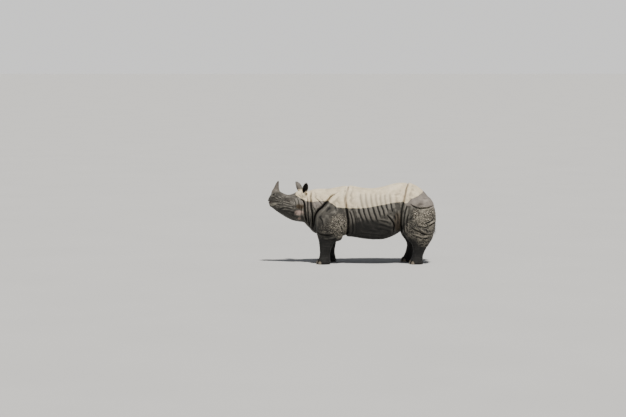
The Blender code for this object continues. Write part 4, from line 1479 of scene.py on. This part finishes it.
def hide_finish():
    """Dark wet hide with a net of fine cracks, and pale dried mud above the line of the water, with painted
    shade low down and in the folds, and painted highlights on ridges and warts.
    """
    hide = Finish("rhino_hide", 0.6, specular_ior_level=0.22)
    place = hide.place()
    hollow, groove, wet_and_shaded = hide.mark("hollow"), hide.mark("groove"), hide.mark("wet_and_shaded")
    broad = hide.noise(place, 2.6, 4.0)
    patchy = hide.noise(place, 11.0, 5.0, 0.62)
    fine = hide.noise(place, 70.0, 4.0, 0.6)
    bent = hide.node("ShaderNodeVectorMath", {"operation": "MULTIPLY_ADD"},
                     {0: hide.noise(place, 22.0, 4.0, 0.5, out=1), 1: (0.035, 0.035, 0.035), 2: place})
    uneven = hide.noise(place, 8.0, 3.0).step(0.36, 0.62)
    cracks = hide.edges(bent, 46.0, 0.11) * (0.15 + 0.85 * uneven)
    pores = hide.edges(bent, 105.0, 0.16) * (1 - 0.4 * uneven)
    specks = hide.edges(place, 240.0, 0.25)

    # The bare hide.
    # Painted highlight: the ridges of the hide are made lighter.
    ridge_highlight = (0 - hollow).step(0.12, 0.7)
    deep = hide.mix(patchy.step(0.3, 0.72), *WET_HIDE)
    deep = hide.mix(broad.step(0.35, 0.7) * 0.5, deep, WORN_HIDE)
    deep = hide.mix(ridge_highlight * 0.65, deep, RIDGE_HIGHLIGHT)
    # Painted shade with wet hide: near black low on the body and under the jaw.
    deep = hide.mix(wet_and_shaded * (0.82 + 0.25 * broad), deep, SOAKED_AND_SHADED)
    # Painted highlight on the tops of the warts, with real stains on them.
    wart_highlights = hide.mix(patchy.step(0.3, 0.7), *WART_TOP_HIGHLIGHTS)
    wart_highlights = hide.mix(hide.noise(place, 34.0, 2.0).step(0.42, 0.64) * 0.5, wart_highlights, STAINED_WARTS)
    # Painted shade on the hide between the warts and at their bases.
    lit_and_shaded_warts = hide.mix((0 - hollow).step(0.15, 0.9), SHADE_BETWEEN_WARTS, wart_highlights)
    deep = hide.mix(hide.mark("grain") * (0.92 - 0.35 * wet_and_shaded), deep, lit_and_shaded_warts)
    deep = hide.mix(hide.mark("rust") * (0.7 + 0.4 * patchy), deep, BROWN)
    deep = hide.mix(hide.mark("blush") * patchy.step(0.25, 0.6), deep, ROSY)
    deep = hide.mix(hide.mark("lip") * 0.85, deep, LIP_HIDE)
    deep = hide.mix((cracks * 0.38 + pores * 0.3) * (1 - fine * 0.5), deep, CRACKS)
    film = hide.mark("film") * (0.8 + 0.5 * (patchy - 0.5))
    deep = hide.mix(film, deep, hide.mix(patchy.step(0.3, 0.7), *MUD_FILM))

    # The mud, with a crisp uneven edge and the hide showing through where it has flaked.
    edge = hide.mark("above_water") + (hide.noise(place, 26.0, 6.0, 0.7) - 0.5) * 0.03
    edge = edge + (broad - 0.5) * 0.05
    muddy = edge.step(-0.003, 0.004)
    thick = edge.step(0.0, 0.35)
    pale = hide.mix(patchy.step(0.28, 0.75), *MUD)
    pale = hide.mix(thick * broad.step(0.4, 0.62) * 0.5, pale, THICK_MUD)
    tint = hide.noise(place, 1.9, 3.0).step(0.42, 0.6)
    pale = hide.mix(tint * 0.55, pale, hide.mix(broad, *YELLOW_MUD))
    mottled = hide.noise(place, 7.5, 6.0, 0.66).step(0.42, 0.64)
    pale = hide.mix(mottled * 0.34, pale, MOTTLED_MUD)
    # Painted highlight on the ridges of the mud.
    pale = hide.mix(ridge_highlight * 0.3, pale, MUD_RIDGE_HIGHLIGHT)
    pale = hide.mix((cracks * 0.26 + pores * 0.14) * patchy.step(0.3, 0.6), pale, CRACKED_MUD)
    flaked = hide.noise(place, 19.0, 7.0, 0.68).step(0.63, 0.68) * (0.4 + 0.6 * (1 - thick))
    pale = hide.mix(flaked * 0.7, pale, FLAKED_MUD)

    # Both together, with painted shade in the folds, hollows, ribs, mouth, nostrils and ears.
    colour = hide.mix(muddy, deep, pale)
    bare = (1 - muddy) * (1 - film * 0.85)
    # Painted shade, near black, in the hollows and folds of the bare hide, the mouth and the nostrils.
    fold_shade = hollow.step(0.36, 0.9).most(groove * 0.95) * bare.most(groove * (1 - muddy))
    colour = hide.mix(fold_shade, colour, FOLD_SHADE)
    # Painted shade in the hollows of the mud.
    colour = hide.mix(hollow.step(0.1, 0.75) * muddy * 0.72, colour, MUD_HOLLOW_SHADE)
    # Painted shade in the rib grooves of the mud.
    colour = hide.mix(hide.mark("ribs") * muddy * 0.6, colour, MUD_RIB_SHADE)
    # Painted shade in the folds of the mud.
    colour = hide.mix(groove.step(0.2, 0.9) * muddy * 0.55, colour, MUD_FOLD_SHADE)
    # Painted shade, near black, in the hollows of the ears.
    colour = hide.mix(hide.mark("in_ear"), colour, EAR_HOLLOW_SHADE)
    colour = hide.mix(hide.mark("pink") * hollow.step(0.0, 0.35) * 0.8, colour, MOUTH_PINK)
    hide.set("Base Color", colour)
    dry = muddy.most(film * 0.7)
    hide.set("Roughness", 0.5 + 0.4 * dry + 0.14 * (patchy - 0.5))
    hide.bump(fine * 0.55 - cracks * 0.75 - pores * 0.5 - specks * 0.16 + patchy * 0.5, 0.0032, 0.9)
    return hide.material


def horn_finish():
    """Dark fibrous horn: grey and frayed at the root, worn darker and smoother to the tip."""
    horn = Finish("rhino_horn", 0.5, specular_ior_level=0.4)
    share = horn.mark("height_share")
    threads = horn.noise(horn.place((1.0, 1.0, 0.07)), 240.0, 4.0, 0.65)
    blotch = horn.noise(horn.place(), 22.0, 4.0)
    colour = horn.mix(threads.step(0.3, 0.7), (0.060, 0.050, 0.042), (0.135, 0.118, 0.10))
    root = 1 - share.step(0.0, 0.4)
    colour = horn.mix(root * blotch.step(0.35, 0.65) * 0.7, colour, (0.20, 0.18, 0.15))
    colour = horn.mix(share.step(0.55, 1.0) * 0.6, colour, (0.045, 0.036, 0.031))
    horn.set("Base Color", colour)
    horn.set("Roughness", 0.7 - 0.28 * share.step(0.3, 0.95) + 0.1 * (threads - 0.5))
    horn.bump(threads + blotch * 0.4, 0.0012, 0.8)
    return horn.material


def nail_finish():
    """Dull brown horn with rings of growth and dark stains."""
    nail = Finish("rhino_nail", 0.5, specular_ior_level=0.4)
    rings = nail.noise(nail.place((0.15, 0.15, 1.0)), 150.0, 3.0)
    blotch = nail.noise(nail.place(), 35.0, 5.0, 0.6)
    colour = nail.mix(rings.step(0.35, 0.65), (0.105, 0.088, 0.066), (0.20, 0.172, 0.132))
    colour = nail.mix(blotch.step(0.45, 0.7) * 0.7, colour, (0.055, 0.046, 0.036))
    nail.set("Base Color", colour)
    nail.set("Roughness", 0.45 + 0.3 * blotch)
    nail.bump(rings + blotch * 0.5, 0.0009, 0.8)
    return nail.material


def eye_finish():
    """Dark brown, with a round pupil and a wet front."""
    eye = Finish("rhino_eye", 0.12, coat_weight=1.0, coat_roughness=0.02)
    off = eye.mark("from_pupil")
    streaks = eye.noise(eye.place(), 420.0, 3.0)
    iris = eye.mix(streaks.step(0.3, 0.7), (0.024, 0.011, 0.006), (0.066, 0.031, 0.014))
    iris = eye.mix(off.step(0.009, 0.0125), iris, (0.015, 0.008, 0.005))
    colour = eye.mix(off.step(0.0042, 0.0052), (0.002, 0.002, 0.002), iris)
    white = eye.mix(streaks, (0.05, 0.035, 0.028), (0.10, 0.075, 0.06))
    eye.set("Base Color", eye.mix(off.step(0.0128, 0.0145), colour, white))
    return eye.material


def hair_finish():
    """Near-black hair, a little uneven."""
    hair = Finish("rhino_bristle", 0.45)
    shade = hair.noise(hair.place(), 60.0, 2.0)
    hair.set("Base Color", hair.mix(shade.step(0.3, 0.7), (0.012, 0.010, 0.008), (0.04, 0.033, 0.026)))
    return hair.material


def floor_finish():
    """Pale matt paint."""
    floor = Finish("studio_floor", 0.85)
    tint = floor.noise(floor.place(), 0.4, 2.0)
    floor.set("Base Color", floor.mix(tint.step(0.3, 0.7), (0.46, 0.46, 0.452), (0.475, 0.475, 0.467)))
    return floor.material


# ---------------------------------------------------------------------------------------------------------
# The whole animal
# The whole animal


def dress(piece, slot, material, *nodes):
    """Gives a piece its finish and its place on the one body, and hides the solids that it stands for."""
    piece.data.materials.clear()
    piece.data.materials.append(material)
    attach(piece, "root")
    if nodes:
        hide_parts(*nodes)


# Each patch of warts: how it is told from the other, and the seed of its places.
WARTY_PATCHES = {
    "shoulder_warts": (lambda places: places[:, 0] < 0.4, 51),
    "thigh_warts": (lambda places: places[:, 0] > 0.4, 52),
}


def make_animal():
    """All the pieces, each with its finish."""
    dress(make_horn(), "horn", horn_finish(), "horn")
    eye, nail = eye_finish(), nail_finish()
    for side, name in SIDES.items():
        dress(make_eye(side), "eye", eye, "eye_" + name)
    block = nail_block()
    for node in NAILS:
        dress(make_nail(node, block), "nail", nail, node)
    bpy.data.meshes.remove(block.data)
    hide, bristle = hide_finish(), hair_finish()
    skin = make_skin()
    hollow = hollowness(skin)
    mark(skin, places_of(skin.data), hollow, in_ear=inside_ears(skin))
    skin.data.shade_smooth()
    dress(skin, "hide", hide, *FLESH, *(ear.node for ear in EARS))
    for name, (within, seed) in WARTY_PATCHES.items():
        dress(make_warts(skin, name, hollow, within, seed), "hide", hide)
    for hairs in (ear_fringe(), tail_tuft(skin), eye_lashes()):
        dress(hairs, "hide", bristle)


# ---------------------------------------------------------------------------------------------------------
# Studio

# What the view takes in at the animal, in metres, and where its middle is.
VIEW_WIDTH = 12.83
VIEW_MIDDLE = Vector((-0.789, 0.0, 1.117))
VIEW_DISTANCE = 42.0
VIEW_RISE = math.radians(4.5)
SENSOR_WIDTH = 36.0

# The sky near the floor and above, and the lamp: its power, width, colour and the way that it shines.
SKY_LOW, SKY_HIGH = (0.98, 0.975, 0.965), (0.2, 0.21, 0.23)
LAMP_POWER = 6.4
LAMP_WIDTH = math.radians(5)
LAMP_COLOUR = (1.0, 0.965, 0.91)
LAMP_WAY = Vector((-0.12, 0.37, -0.92))


def make_floor():
    """A plain pale floor, far wider than the view."""
    floor = primitive(bpy.ops.mesh.primitive_plane_add, "studio_floor", size=600)
    edit_all(floor)
    bpy.ops.mesh.subdivide(number_cuts=4)
    close_edit(floor)
    floor.data.materials.append(floor_finish())


def make_light():
    """A soft pale sky, brighter near the floor, and a wide lamp above and to the left."""
    world = bpy.data.worlds.new("studio")
    bpy.context.scene.world = world
    world.use_nodes = True
    sky = Tree(world.node_tree)
    light = world.node_tree.nodes["Background"]
    towards = sky.node("ShaderNodeSeparateXYZ", {}, {0: sky.node("ShaderNodeTexCoord", {}, {})}, out=2)
    sky.join(sky.mix(towards.step(0.03, 0.2), SKY_LOW, SKY_HIGH), light.inputs["Color"])
    light.inputs["Strength"].default_value = 1.0

    lamp = bpy.data.lights.new("key", "SUN")
    lamp.energy = LAMP_POWER
    lamp.angle = LAMP_WIDTH
    lamp.color = LAMP_COLOUR
    new_object("key", lamp).rotation_euler = LAMP_WAY.to_track_quat("-Z", "Y").to_euler()


def make_camera():
    """A long lens a little above the animal's back, square to its left side."""
    lens = bpy.data.cameras.new("view")
    lens.sensor_width = SENSOR_WIDTH
    lens.lens = SENSOR_WIDTH * VIEW_DISTANCE / VIEW_WIDTH
    lens.clip_end = 1000.0
    camera = new_object("view", lens)
    back = Vector((0, -math.cos(VIEW_RISE), math.sin(VIEW_RISE)))
    camera.location = VIEW_MIDDLE + back * VIEW_DISTANCE
    camera.rotation_euler = (-back).to_track_quat("-Z", "Y").to_euler()
    bpy.context.scene.camera = camera


make_floor()
make_light()
make_camera()
make_animal()
